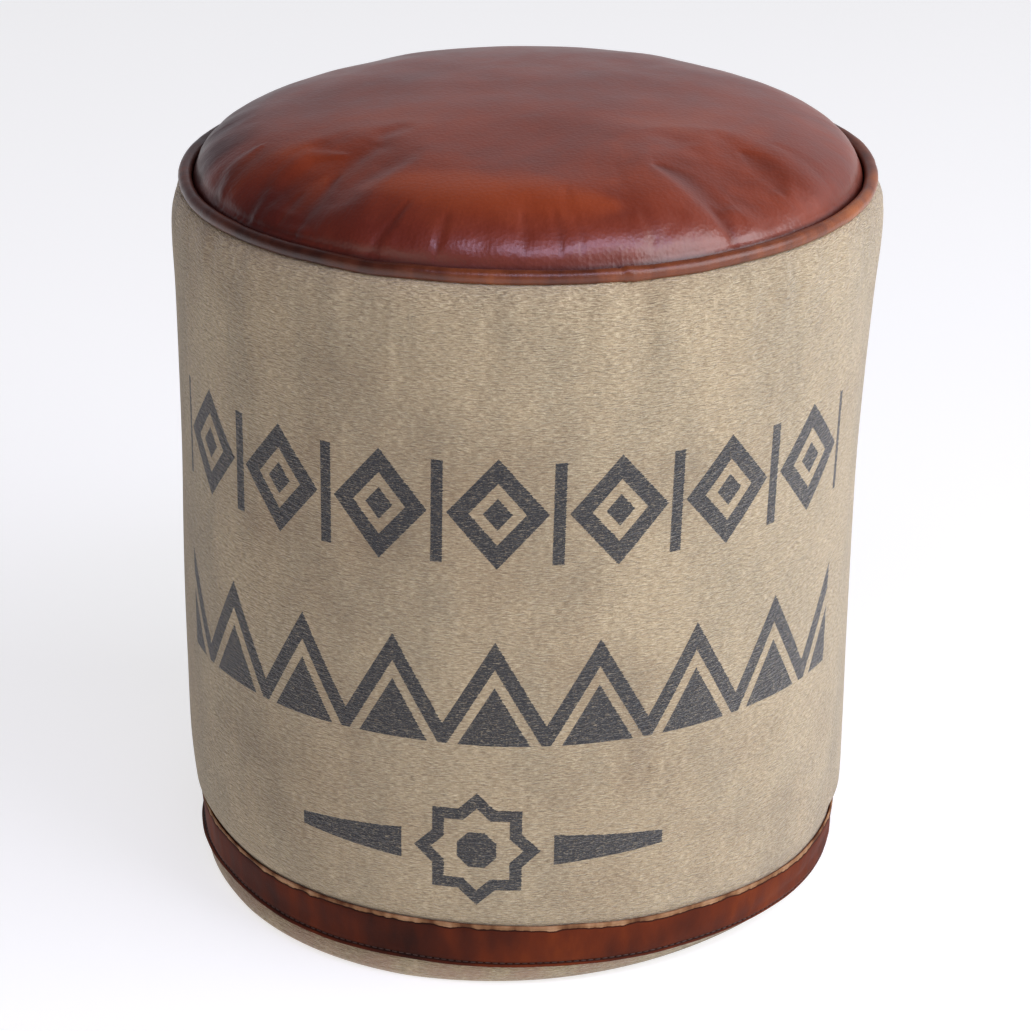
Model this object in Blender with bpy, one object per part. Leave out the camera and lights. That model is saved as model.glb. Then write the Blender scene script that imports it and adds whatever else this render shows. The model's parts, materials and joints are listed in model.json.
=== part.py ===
"""An upholstered drum pouf: a crowned leather seat on a round wooden frame, with a canvas side.

Metres, +Z up, the origin on the floor at the middle of the base. The front faces -Y.
Every turned part shares one number of sides, so that neighbours stay parallel.
"""

import math

import bmesh
import bpy
from mathutils import Vector

# Driving dimensions
DRUM_RADIUS = 0.190
OVERALL_HEIGHT = 0.450
SEAM_HEIGHT = 0.4052  # middle of the piping
SEAT_FOAM_TOP = 0.3862
GAP = 0.0003  # between any two parts that touch
SIDES = 40

# The floor, the dust cover and the base
GLIDE_HEIGHT = 0.0037
GLIDE_RADIUS = 0.011
GLIDE_CIRCLE = 0.135
DUST_COVER_THICKNESS = 0.0008
DUST_COVER_RADIUS = 0.168
STAPLE_ROOM = 0.0012  # between the dust cover and the canvas
BOARD_THICKNESS = 0.015
BOARD_RADIUS = 0.1725
BOARD_CHAMFER = 0.0015

# The skins
CANVAS_THICKNESS = 0.0015
CANVAS_TURN_UNDER = 0.150  # radius where the turned-under canvas ends
CANVAS_TOP = 0.4008
BASE_ROLL_WIDTH = 0.014  # the rolled bottom edge is a quarter of an ellipse
BASE_ROLL_HEIGHT = 0.030
BASE_ROLL_STEPS = 5
LEATHER_THICKNESS = 0.0013
BAND_FIRST_STEP = 2  # the band starts at this step of the rolled edge
BAND_TOP = 0.041

# The seat
DOME_RADIUS = 0.1818
DOME_EDGE_HEIGHT = 0.4070
DOME_STEPS = 8
SEAM_RADIUS = 0.1855  # outside of the leather where it hangs in the seam
SEAM_ALLOWANCE_END = 0.3865
SEAT_BOARD_TOP = 0.345
FOAM_CHAMFER = 0.003
AIR_HOLE_RADIUS = 0.010
AIR_HOLE_CIRCLE = 0.060
AIR_HOLES = 5

# The piping
PIPING_RADIUS = 0.00325
PIPING_CIRCLE = 0.18925
PIPING_LEATHER = 0.0010
PIPING_SLIT = 0.0003
PIPING_STEPS = 7

# The frame
SHELL_THICKNESS = 0.0031
POST_SIDE = 0.035
POST_CIRCLE = 0.125
POST_COUNT = 4
SCREW_LENGTH = 0.045
SCREW_RADIUS = 0.0021
SCREW_HEAD_RADIUS = 0.0042
SCREW_HEAD_DEPTH = 0.0028
NAIL_RADIUS = 0.0011
NAIL_HEAD_RADIUS = 0.0030
NAIL_HEAD_HEIGHT = 0.0008
NAIL_RECESS = 0.0008
NAIL_LENGTH = 0.0165
FASTENER_SIDES = 12

# Heights that follow from them
DUST_COVER_BOTTOM = GLIDE_HEIGHT + GAP
CANVAS_UNDERSIDE = DUST_COVER_BOTTOM + DUST_COVER_THICKNESS + STAPLE_ROOM
BASE_BOARD_BOTTOM = CANVAS_UNDERSIDE + CANVAS_THICKNESS + GAP
BASE_BOARD_TOP = BASE_BOARD_BOTTOM + BOARD_THICKNESS
SEAT_BOARD_BOTTOM = SEAT_BOARD_TOP - BOARD_THICKNESS
SHELL_INSIDE = BOARD_RADIUS + GAP
SIDE_FOAM_INSIDE = SHELL_INSIDE + SHELL_THICKNESS + GAP
CROWN_HEIGHT = OVERALL_HEIGHT - DOME_EDGE_HEIGHT


def clear_scene():
    for thing in list(bpy.data.objects):
        bpy.data.objects.remove(thing, do_unlink=True)


def finish(name, colour, roughness, metallic=0.0):
    """A plain Principled material. The colour is linear."""
    material = bpy.data.materials.new(name)
    material.use_nodes = True
    shader = material.node_tree.nodes["Principled BSDF"]
    shader.inputs["Base Color"].default_value = (*colour, 1.0)
    shader.inputs["Roughness"].default_value = roughness
    shader.inputs["Metallic"].default_value = metallic
    material.diffuse_color = (*colour, 1.0)
    return material


def add_object(name, mesh, material, parent):
    mesh.name = name
    made = bpy.data.objects.new(name, mesh)
    made.data.materials.append(material)
    made.parent = parent
    bpy.context.scene.collection.objects.link(made)
    return made


def add_cutter(name, mesh):
    cutter = bpy.data.objects.new(name, mesh)
    cutter.hide_render = True
    cutter.display_type = "WIRE"
    bpy.context.scene.collection.objects.link(cutter)
    return cutter


def cut(target, cutter):
    modifier = target.modifiers.new("cut_" + cutter.name, "BOOLEAN")
    modifier.operation = "DIFFERENCE"
    modifier.solver = "EXACT"
    modifier.object = cutter


def turned(outline, closed=True, sides=SIDES):
    """A mesh turned about Z from (radius, height) points. An open outline starts and ends on the axis."""
    shape = bmesh.new()
    points = [shape.verts.new((radius, 0, height)) for radius, height in outline]
    edges = [shape.edges.new(pair) for pair in zip(points, points[1:])]
    if closed:
        edges.append(shape.edges.new((points[-1], points[0])))
    bmesh.ops.spin(
        shape,
        geom=points + edges,
        cent=(0, 0, 0),
        axis=(0, 0, 1),
        angle=math.tau,
        steps=sides,
        use_merge=True,
    )
    bmesh.ops.remove_doubles(shape, verts=shape.verts, dist=1e-6)
    bmesh.ops.recalc_face_normals(shape, faces=shape.faces)
    mesh = bpy.data.meshes.new("turned")
    shape.to_mesh(mesh)
    shape.free()
    mesh.shade_smooth()
    mesh.set_sharp_from_angle(angle=math.radians(35))
    return mesh


def beside(line, distance):
    """The same line moved to its left by a distance. A point on the axis stays on it."""
    moved = []
    for i, (radius, height) in enumerate(line):
        before = Vector(line[max(i - 1, 0)])
        after = Vector(line[min(i + 1, len(line) - 1)])
        along = (after - before).normalized()
        if radius == 0:
            along = Vector((1, 0))
        moved.append((radius - along.y * distance, height + along.x * distance))
    return moved


def layer(line, near, far):
    """The closed outline between two lines beside the given one."""
    return beside(line, near) + beside(line, far)[::-1]


def around(count, circle, turn=0.0):
    """Places spread evenly on a circle about Z."""
    angles = [math.tau * (i + turn) / count for i in range(count)]
    return [(circle * math.cos(a), circle * math.sin(a)) for a in angles]


def disc(radius, bottom, top, chamfer):
    return turned(
        [
            (0, top),
            (radius - chamfer, top),
            (radius, top - chamfer),
            (radius, bottom + chamfer),
            (radius - chamfer, bottom),
            (0, bottom),
        ],
        closed=False,
    )


def base_roll():
    """The outside of the canvas round the bottom edge, from the underside up to the straight wall."""
    angles = [math.radians(90) * i / BASE_ROLL_STEPS for i in range(BASE_ROLL_STEPS + 1)]
    middle_radius = DRUM_RADIUS - BASE_ROLL_WIDTH
    middle_height = CANVAS_UNDERSIDE + BASE_ROLL_HEIGHT
    return [
        (
            middle_radius + BASE_ROLL_WIDTH * math.sin(a),
            middle_height - BASE_ROLL_HEIGHT * math.cos(a),
        )
        for a in angles
    ]


def canvas_line():
    """The outside of the canvas, from its turned-under edge up to the seam."""
    return [(CANVAS_TURN_UNDER, CANVAS_UNDERSIDE), *base_roll(), (DRUM_RADIUS, CANVAS_TOP)]


def dome_line():
    """The outside of the seat leather, from the crown out and down into the seam."""
    line = []
    for i in range(DOME_STEPS + 1):
        radius = DOME_RADIUS * math.sin(math.radians(84) * i / DOME_STEPS)
        fall = (1 - (radius / DOME_RADIUS) ** 3) ** 0.78
        line.append((radius, DOME_EDGE_HEIGHT + CROWN_HEIGHT * fall))
    line.append((DOME_RADIUS + 0.0010, DOME_EDGE_HEIGHT - 0.0010))
    line.append((SEAM_RADIUS, SEAM_HEIGHT - 0.0060))
    line.append((SEAM_RADIUS, SEAM_ALLOWANCE_END))
    return line


def seat_skin(material, parent):
    outline = dome_line() + beside(dome_line(), -LEATHER_THICKNESS)[::-1]
    return add_object("seat_leather", turned(outline, closed=False), material, parent)


def seat_filling(material, parent):
    """The fibre crown: it fills the leather down to the foam."""
    top = beside(dome_line(), -LEATHER_THICKNESS - GAP)
    top[-1] = (top[-1][0], SEAT_FOAM_TOP + GAP)
    mesh = turned([*top, (0, SEAT_FOAM_TOP + GAP)], closed=False)
    return add_object("seat_wadding", mesh, material, parent)


def piping_line():
    """The middle of the folded piping strip: up its outer flange, round the cord and down again."""
    ring = PIPING_RADIUS - PIPING_LEATHER / 2
    outer = PIPING_CIRCLE - 0.6 * ring
    inner = outer - PIPING_LEATHER - PIPING_SLIT
    line = [(outer, SEAM_ALLOWANCE_END), (outer, SEAM_HEIGHT - 0.9 * ring)]
    for i in range(PIPING_STEPS):
        angle = math.radians(-110 + 290 * i / PIPING_STEPS)
        line.append((PIPING_CIRCLE + ring * math.cos(angle), SEAM_HEIGHT + ring * math.sin(angle)))
    line.append((inner, SEAM_HEIGHT - 0.5 * ring))
    line.append((inner, SEAM_ALLOWANCE_END))
    return line


def piping(leather, cotton, parent):
    outline = layer(piping_line(), PIPING_LEATHER / 2, -PIPING_LEATHER / 2)
    add_object("seat_piping", turned(outline), leather, parent)
    cord_radius = PIPING_RADIUS - PIPING_LEATHER - GAP
    section = [
        (
            PIPING_CIRCLE + cord_radius * math.cos(math.tau * i / 8),
            SEAM_HEIGHT + cord_radius * math.sin(math.tau * i / 8),
        )
        for i in range(8)
    ]
    add_object("piping_cord", turned(section), cotton, parent)


def side_skins(canvas, leather, parent):
    outline = layer(canvas_line(), 0, CANVAS_THICKNESS)
    add_object("canvas_side", turned(outline), canvas, parent)
    band = [*base_roll()[BAND_FIRST_STEP:], (DRUM_RADIUS, BAND_TOP)]
    outline = layer(band, -GAP, -GAP - LEATHER_THICKNESS)
    add_object("leather_band", turned(outline), leather, parent)


def side_filling(foam, hardboard, parent):
    """The hardboard tube on the boards' edges, and the foam wrapped round it."""
    outside = SHELL_INSIDE + SHELL_THICKNESS
    tube = [
        (SHELL_INSIDE, BASE_BOARD_BOTTOM),
        (outside, BASE_BOARD_BOTTOM),
        (outside, SEAT_FOAM_TOP),
        (SHELL_INSIDE, SEAT_FOAM_TOP),
    ]
    add_object("drum_shell", turned(tube), hardboard, parent)
    line = beside(canvas_line(), CANVAS_THICKNESS + GAP)[2:-1]
    wall = DRUM_RADIUS - CANVAS_THICKNESS - GAP
    outline = [
        (SIDE_FOAM_INSIDE, BASE_BOARD_BOTTOM + GAP),
        *line,
        (wall, SEAT_FOAM_TOP),
        (SIDE_FOAM_INSIDE, SEAT_FOAM_TOP),
    ]
    add_object("side_foam", turned(outline), foam, parent)


def screw_mesh(room=0.0):
    """A countersunk screw that points down from its head at the origin. With room round it, it is its own hole."""
    shank = SCREW_RADIUS + room
    head = SCREW_HEAD_RADIUS + room
    outline = [
        (0, 10 * room),
        (head, 10 * room),
        (head, -room),
        (shank, -SCREW_HEAD_DEPTH - room),
        (shank, -SCREW_LENGTH + 4 * SCREW_RADIUS),
        (0, -SCREW_LENGTH - room),
    ]
    return turned(outline, closed=False, sides=FASTENER_SIDES)


def nail_mesh():
    """A flat-headed nail that points up from its head."""
    outline = [
        (0, 0),
        (NAIL_HEAD_RADIUS, 0),
        (NAIL_HEAD_RADIUS, NAIL_HEAD_HEIGHT),
        (NAIL_RADIUS, NAIL_HEAD_HEIGHT),
        (NAIL_RADIUS, NAIL_LENGTH - 2 * NAIL_RADIUS),
        (0, NAIL_LENGTH),
    ]
    return turned(outline, closed=False, sides=FASTENER_SIDES)


def glide_mesh():
    """A round glide with a flat underside and a stepped bore for its nail."""
    recess_top = NAIL_RECESS + NAIL_HEAD_HEIGHT + GAP
    head = NAIL_HEAD_RADIUS + GAP
    bore = NAIL_RADIUS + GAP
    outline = [
        (head, 0),
        (GLIDE_RADIUS - 0.0006, 0),
        (GLIDE_RADIUS, 0.0008),
        (GLIDE_RADIUS, GLIDE_HEIGHT),
        (bore, GLIDE_HEIGHT),
        (bore, recess_top),
        (head, recess_top),
    ]
    return turned(outline, sides=16)


def peg(radius, bottom, top, sides):
    """A plain round solid along Z."""
    outline = [(0, top), (radius, top), (radius, bottom), (0, bottom)]
    return turned(outline, closed=False, sides=sides)


def frame(plywood, softwood, steel, parent):
    """The two boards, the posts between them and the screws that hold them."""
    base = add_object(
        "base_board",
        disc(BOARD_RADIUS, BASE_BOARD_BOTTOM, BASE_BOARD_TOP, BOARD_CHAMFER),
        plywood,
        parent,
    )
    seat = add_object(
        "seat_board",
        disc(BOARD_RADIUS, SEAT_BOARD_BOTTOM, SEAT_BOARD_TOP, BOARD_CHAMFER),
        plywood,
        parent,
    )
    post_height = SEAT_BOARD_BOTTOM - BASE_BOARD_TOP - 2 * GAP
    for i, (x, y) in enumerate(around(POST_COUNT, POST_CIRCLE, turn=0.5), start=1):
        shape = bmesh.new()
        bmesh.ops.create_cube(shape, size=1)
        bmesh.ops.scale(shape, vec=(POST_SIDE, POST_SIDE, post_height), verts=shape.verts)
        mesh = bpy.data.meshes.new("post")
        shape.to_mesh(mesh)
        shape.free()
        post = add_object(f"frame_post_{i}", mesh, softwood, parent)
        post.location = (x, y, BASE_BOARD_TOP + GAP + post_height / 2)
        ends = (
            ("seat", seat, SEAT_BOARD_TOP - GAP, 0.0),
            ("base", base, BASE_BOARD_BOTTOM + GAP, math.pi),
        )
        for end, board, height, flip in ends:
            screw = add_object(f"{end}_screw_{i}", screw_mesh(), steel, parent)
            hole = add_cutter(f"{end}_screw_hole_{i}", screw_mesh(room=GAP))
            for thing in (screw, hole):
                thing.location = (x, y, height)
                thing.rotation_euler = (flip, 0, 0)
            cut(board, hole)
            cut(post, hole)
    for i, (x, y) in enumerate(around(AIR_HOLES, AIR_HOLE_CIRCLE), start=1):
        hole = add_cutter(
            f"air_hole_{i}",
            peg(AIR_HOLE_RADIUS, SEAT_BOARD_BOTTOM - 0.01, SEAT_BOARD_TOP + 0.01, 16),
        )
        hole.location = (x, y, 0)
        cut(seat, hole)
    return base


def underside(base, cloth, nylon, steel, parent):
    """The dust cover, and the nailed glides that the pouf stands on."""
    top = DUST_COVER_BOTTOM + DUST_COVER_THICKNESS
    sheet = peg(DUST_COVER_RADIUS, DUST_COVER_BOTTOM, top, SIDES)
    cover = add_object("dust_cover", sheet, cloth, parent)
    for i, (x, y) in enumerate(around(4, GLIDE_CIRCLE), start=1):
        glide = add_object(f"glide_{i}", glide_mesh(), nylon, parent)
        glide.location = (x, y, 0)
        nail = add_object(f"glide_nail_{i}", nail_mesh(), steel, parent)
        nail.location = (x, y, NAIL_RECESS)
        hole = add_cutter(
            f"nail_hole_{i}",
            peg(NAIL_RADIUS + GAP, 0.002, NAIL_RECESS + NAIL_LENGTH + GAP, FASTENER_SIDES),
        )
        hole.location = (x, y, 0)
        cut(cover, hole)
        cut(base, hole)


def main():
    clear_scene()
    pouf = bpy.data.objects.new("pouf", None)
    bpy.context.scene.collection.objects.link(pouf)
    seat_leather = finish("seat_leather", (0.165, 0.045, 0.022), 0.28)
    trim_leather = finish("trim_leather", (0.130, 0.036, 0.016), 0.38)
    canvas = finish("canvas", (0.47, 0.38, 0.25), 0.92)
    plywood = finish("plywood", (0.50, 0.34, 0.19), 0.6)
    softwood = finish("softwood", (0.60, 0.42, 0.24), 0.65)
    hardboard = finish("hardboard", (0.17, 0.09, 0.045), 0.7)
    foam = finish("foam", (0.72, 0.66, 0.50), 0.95)
    wadding = finish("wadding", (0.85, 0.85, 0.82), 1.0)
    cotton = finish("cotton_cord", (0.70, 0.66, 0.56), 0.9)
    cloth = finish("dust_cloth", (0.012, 0.012, 0.013), 0.9)
    nylon = finish("nylon", (0.03, 0.03, 0.03), 0.45)
    steel = finish("zinc_steel", (0.55, 0.55, 0.53), 0.35, 1.0)
    seat_skin(seat_leather, pouf)
    seat_filling(wadding, pouf)
    pad = disc(BOARD_RADIUS, SEAT_BOARD_TOP + GAP, SEAT_FOAM_TOP, FOAM_CHAMFER)
    add_object("seat_foam", pad, foam, pouf)
    piping(trim_leather, cotton, pouf)
    side_skins(canvas, trim_leather, pouf)
    side_filling(foam, hardboard, pouf)
    base = frame(plywood, softwood, steel, pouf)
    underside(base, cloth, nylon, steel, pouf)


main()
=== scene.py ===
# %% [markdown]
# # An upholstered drum pouf
# The pouf is a round wooden frame wrapped in foam and napped cotton canvas. A crowned seat of glossy
# antiqued leather is sewn to the canvas with a leather piping, and a leather band runs round the base.
# The wooden frame is already made as solids. This lesson dresses it: each soft piece gets a real surface,
# its stitches and staples, and a material built from the size of its own threads and grain.

# %% Load the frame
import json
import math

import bmesh
import bpy
import numpy as np
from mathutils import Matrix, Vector, noise


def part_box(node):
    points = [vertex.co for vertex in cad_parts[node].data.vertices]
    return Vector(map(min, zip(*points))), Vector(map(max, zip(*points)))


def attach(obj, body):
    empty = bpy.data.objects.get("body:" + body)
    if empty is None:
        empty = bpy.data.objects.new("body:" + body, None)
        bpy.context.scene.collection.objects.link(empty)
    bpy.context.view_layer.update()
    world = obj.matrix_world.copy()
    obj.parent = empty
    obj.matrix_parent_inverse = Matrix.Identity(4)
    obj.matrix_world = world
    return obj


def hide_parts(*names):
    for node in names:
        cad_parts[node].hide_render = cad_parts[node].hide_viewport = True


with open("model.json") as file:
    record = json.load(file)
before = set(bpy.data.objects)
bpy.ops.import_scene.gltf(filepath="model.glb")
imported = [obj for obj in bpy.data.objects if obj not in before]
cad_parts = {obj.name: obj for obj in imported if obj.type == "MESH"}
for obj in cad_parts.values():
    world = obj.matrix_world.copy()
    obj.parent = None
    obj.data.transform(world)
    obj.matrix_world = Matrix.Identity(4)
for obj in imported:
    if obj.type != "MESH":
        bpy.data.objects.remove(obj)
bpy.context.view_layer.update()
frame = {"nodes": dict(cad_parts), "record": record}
scene = bpy.context.scene

# %% [markdown]
# ## Sizes
# Every place comes from the solids, so that the cloth fits the frame. The drum isn't a perfect cylinder:
# the soft top has slid a few millimetres to one side, so one small function leans each soft piece alike.

# %% Read the sizes
canvas_low, canvas_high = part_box("canvas_side")
cover_low, cover_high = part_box("dust_cover")
foam_low, foam_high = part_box("seat_foam")
shell_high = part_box("drum_shell")[1]
band_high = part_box("leather_band")[1]
piping_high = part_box("seat_piping")[1]
seat_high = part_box("seat_leather")[1]

DRUM_RADIUS = canvas_high.x
UNDERSIDE = canvas_low.z
SEAM_Z = piping_high.z - 0.0027  # the height of the piping's middle
PIPING_R = 0.0037
PIPING_RING = piping_high.x - 0.0068
CROWN_Z = seat_high.z - 0.0015
DOME_R = 0.1800  # where the crown turns down into the seam
DOME_EDGE_Z = 0.4087
CROWN_BASE_Z = 0.3866
CANVAS_THICK = 0.0015
LEATHER_THICK = 0.0013
COLUMNS = 360
LEAN = 0.0069  # how far the top has slid to the right


def lean(z):
    """How far the soft cover has slid along X at a height."""
    share = np.clip(np.asarray(z, float) / SEAM_Z, 0, 1.2)
    return LEAN * share**1.6


print("drum radius", round(DRUM_RADIUS, 4), "piping ring", round(PIPING_RING, 4))

# %% [markdown]
# ## Mesh helpers
# The soft pieces are skins: a grid of points laid over a turned line. One function makes a grid mesh with
# its UV map in metres, so that a pattern on it can be drawn at its true size. Another makes a smooth line
# from a few points, the way an upholsterer's template is drawn.


# %% Helpers for grids and lines
def smooth_line(points, spacing):
    """A smooth curve through (radius, height) points, with points about this far apart."""
    p = np.array(points, float)
    ends = np.vstack([2 * p[0] - p[1], p, 2 * p[-1] - p[-2]])
    fine = []
    for i in range(1, len(ends) - 2):
        a, b, c, d = ends[i - 1 : i + 3]
        for t in np.linspace(0, 1, 24, endpoint=False):
            bend = 2 * a - 5 * b + 4 * c - d
            twist = 3 * b - a - 3 * c + d
            fine.append(b + 0.5 * t * (c - a) + 0.5 * t * t * bend + 0.5 * t**3 * twist)
    fine = np.array([*fine, p[-1]])
    along = np.concatenate([[0], np.cumsum(np.linalg.norm(np.diff(fine, axis=0), axis=1))])
    at = np.linspace(0, along[-1], max(2, round(along[-1] / spacing)) + 1)
    return np.stack([np.interp(at, along, fine[:, k]) for k in range(2)], axis=1)


def beside(line, distance):
    """The same line moved to its right by a distance."""
    along = np.gradient(line, axis=0)
    along /= np.linalg.norm(along, axis=1)[:, None]
    return line + distance * np.stack([along[:, 1], -along[:, 0]], axis=1)


def ripple(points, size, seed):
    """Smooth noise from about -1 to 1 at each point, with features about this size in metres."""
    shift = Vector((seed * 7.31, seed * 3.17, seed * 5.77))
    values = [noise.noise(Vector(p) / size + shift) for p in np.reshape(points, (-1, 3))]
    return np.reshape(values, points.shape[:-1])


def hill(value, middle, width):
    """A smooth hill of height 1 round a middle value."""
    return np.exp(-(((value - middle) / width) ** 2))


def grow(value, start, end):
    """0 up to the start, then evenly more up to 1 at the end and past it."""
    return np.clip((value - start) / (end - start), 0, 1)


def grid_object(name, points, uv, close_rows=False, close_columns=True):
    """An object from a grid of points (rows, columns, 3). uv has one more row or column where it closes."""
    rows, columns = points.shape[:2]
    index = np.arange(rows * columns).reshape(rows, columns)
    r = np.arange(rows if close_rows else rows - 1)
    c = np.arange(columns if close_columns else columns - 1)
    r, c = (g.ravel() for g in np.meshgrid(r, c, indexing="ij"))
    r2, c2 = (r + 1) % rows, (c + 1) % columns
    faces = np.stack([index[r, c], index[r, c2], index[r2, c2], index[r2, c]], axis=1)
    mesh = bpy.data.meshes.new(name)
    mesh.from_pydata(points.reshape(-1, 3).tolist(), [], faces.tolist())
    corners = np.stack([uv[r, c], uv[r, c + 1], uv[r + 1, c + 1], uv[r + 1, c]], axis=1)
    layer = mesh.uv_layers.new(name="UVMap")
    layer.data.foreach_set("uv", corners.reshape(-1).astype(np.float32))
    mesh.shade_smooth()
    made = bpy.data.objects.new(name, mesh)
    scene.collection.objects.link(made)
    return made

def all_round(columns):
    """Angles all round the drum, from the back seam and past the front."""
    return math.pi / 2 + math.tau * np.arange(columns) / columns


def circle(angles, radius):
    """The points of a level circle on the drum's axis."""
    return np.stack([np.cos(angles), np.sin(angles), 0 * angles], axis=-1) * radius


def bearing(angles):
    """Each angle in degrees from -360 to 0. The front is at -90."""
    return np.degrees(angles) % 360 - 360


def arc_from(middle, angles, radius):
    """How far round the circle each angle is from a middle one, in metres."""
    return ((angles - middle + math.pi) % math.tau - math.pi) * radius


ANGLES = all_round(COLUMNS)


def around(radius, height, angles=ANGLES):
    """Points round the drum, from radii and heights of shape (rows, columns), leaned with the cover."""
    x = radius * np.cos(angles) + lean(height)
    y = radius * np.sin(angles)
    return np.stack([x, y, np.broadcast_to(height, x.shape)], axis=-1)


def ring_uv(rows_at, columns, radius):
    """UV in metres: u along the girth with 0 at the front, v along the section."""
    u = (np.arange(columns + 1) / columns - 0.5) * math.tau * radius
    grid = np.meshgrid(np.asarray(rows_at, float), u, indexing="ij")
    return np.stack([grid[1], grid[0]], axis=-1)


# %% [markdown]
# ## Node helper
# Both shader trees and geometry trees are built with one function. It adds a node, sets it, and links or
# fills its inputs. A second one turns a list of sums into a chain of nodes. Colours are written as the hex
# values that a maker would read off a swatch.


# %% Helpers for nodes
def linear(hex_colour):
    """An sRGB hex colour as the linear RGBA that Blender's shaders use."""
    parts = [int(hex_colour[i : i + 2], 16) / 255 for i in (1, 3, 5)]
    return (*[c / 12.92 if c <= 0.04045 else ((c + 0.055) / 1.055) ** 2.4 for c in parts], 1.0)


def add(tree, kind, inputs=None, stops=(), **settings):
    """One node of a tree. Its inputs go by name or number, each a value, a hex colour or another node's
    socket. Stops are the (position, colour) pairs of a ramp, and a plain number is a grey."""
    made = tree.nodes.new(kind)
    for name, value in settings.items():
        setattr(made, name, value)
    for socket, value in (inputs or {}).items():
        if isinstance(value, bpy.types.NodeSocket):
            tree.links.new(value, made.inputs[socket])
        else:
            made.inputs[socket].default_value = linear(value) if isinstance(value, str) else value
    for k, (position, colour) in enumerate(stops):
        element = made.color_ramp.elements[k] if k < 2 else made.color_ramp.elements.new(position)
        element.position = position
        element.color = linear(colour) if isinstance(colour, str) else (colour, colour, colour, 1)
    return made


def formula(tree, known, *rows):
    """A chain of sums from rows of (result, operation, values), where a value is a number or an earlier
    name. CLAMP keeps a value between two others. ADD, MULTIPLY and MAXIMUM take any number of values."""
    known = dict(known)
    for result, operation, *values in rows:
        sockets = [known[v] if isinstance(v, str) else v for v in values]
        while operation in ("ADD", "MULTIPLY", "MAXIMUM") and len(sockets) > 2:
            first = add(tree, "ShaderNodeMath", dict(enumerate(sockets[:2])), operation=operation)
            sockets = [first.outputs[0], *sockets[2:]]
        if operation == "CLAMP":
            made = add(tree, "ShaderNodeClamp", dict(enumerate(sockets)))
        else:
            made = add(tree, "ShaderNodeMath", dict(enumerate(sockets)), operation=operation)
        known[result] = made.outputs[0]
    return known


# The sockets of a Mix node that mixes colours: how much, the lower and the upper colour, and what comes out.
MIX_AMOUNT, MIX_UNDER, MIX_OVER, MIX_RESULT = 0, 6, 7, 2


def new_material(name):
    """A material with an empty tree, and the tree."""
    material = bpy.data.materials.new(name)
    material.use_nodes = True
    material.node_tree.nodes.clear()
    return material, material.node_tree


print("helpers ready")

# %% [markdown]
# ## Camera, lights and floor
# The camera looks down by about 24 degrees through a long lens, so the drum narrows only a little towards
# its foot. A bright low background behind the pouf gives the milky reflection on the far side of the
# seat. The ceiling is dark, so the front half of the dome shows its own orange brown. A broad soft lamp
# from the front right makes the highlights along the seat's front edge and models the canvas.

# %% Camera
LENS_MM, SENSOR_MM = 102.54, 36
LOOK_DOWN, LOOK_RIGHT = 23.752, 0.13  # degrees
camera = bpy.data.objects.new("camera", bpy.data.cameras.new("camera"))
camera.data.sensor_width = SENSOR_MM
camera.data.lens = LENS_MM
camera.location = (-0.0033, -1.5366, 0.8742)
camera.rotation_euler = (math.radians(90 - LOOK_DOWN), 0, math.radians(-LOOK_RIGHT))
scene.collection.objects.link(camera)
scene.camera = camera
scene.view_settings.view_transform = "Standard"


# %% Lights
def lamp(name, place, aim, size, power, colour):
    """A rectangular lamp of a size in metres and a power in watts, aimed at a point."""
    data = bpy.data.lights.new(name, "AREA")
    data.shape = "RECTANGLE"
    data.size, data.size_y = size
    data.energy = power
    data.color = linear(colour)[:3]
    made = bpy.data.objects.new(name, data)
    made.location = place
    made.rotation_euler = (Vector(aim) - Vector(place)).to_track_quat("-Z", "Y").to_euler()
    scene.collection.objects.link(made)


lamp("key", (2.55, -1.25, 1.70), (0, 0, 0.22), (2.8, 2.5), 102, "#F6F8FF")
lamp("front_window", (0.5, -1.6, 2.6), (0, 0, 0.4), (2.5, 0.7), 38, "#DCD6FF")
lamp("fill", (-2.2, -2.2, 0.8), (0, 0, 0.2), (2.0, 2.0), 8, "#FFF2E2")

world = bpy.data.worlds.new("studio")
scene.world = world
world.use_nodes = True
sky = world.node_tree
sky.nodes.clear()
direction = add(sky, "ShaderNodeTexCoord").outputs["Generated"]
toward = add(sky, "ShaderNodeSeparateXYZ", {0: direction}).outputs
fall = add(sky, "ShaderNodeValToRGB", {0: toward["Z"]}, stops=((0.0, 1.0), (0.46, 0.80), (0.88, 0.10)))
behind = add(
    sky,
    "ShaderNodeMapRange",
    {"Value": toward["Y"], "From Min": -0.4, "From Max": 0.5, "To Min": 0.26, "To Max": 0.60},
)
raised = add(
    sky,
    "ShaderNodeMapRange",
    {"Value": toward["Z"], "From Min": 0.10, "From Max": 0.40, "To Min": 0.0, "To Max": 1.05},
)
level = formula(
    sky,
    {"x": toward["X"], "fall": fall.outputs[0], "behind": behind.outputs[0], "raised": raised.outputs[0]},
    ("to_the_right", "MULTIPLY_ADD", "x", "raised", 1.0),
    ("level", "MULTIPLY", "fall", "behind", "to_the_right"),
)["level"]
backdrop = add(sky, "ShaderNodeBackground", {"Color": "#E6E3EC", "Strength": level})
add(sky, "ShaderNodeOutputWorld", {"Surface": backdrop.outputs[0]})
print("lamps and backdrop ready")

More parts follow.
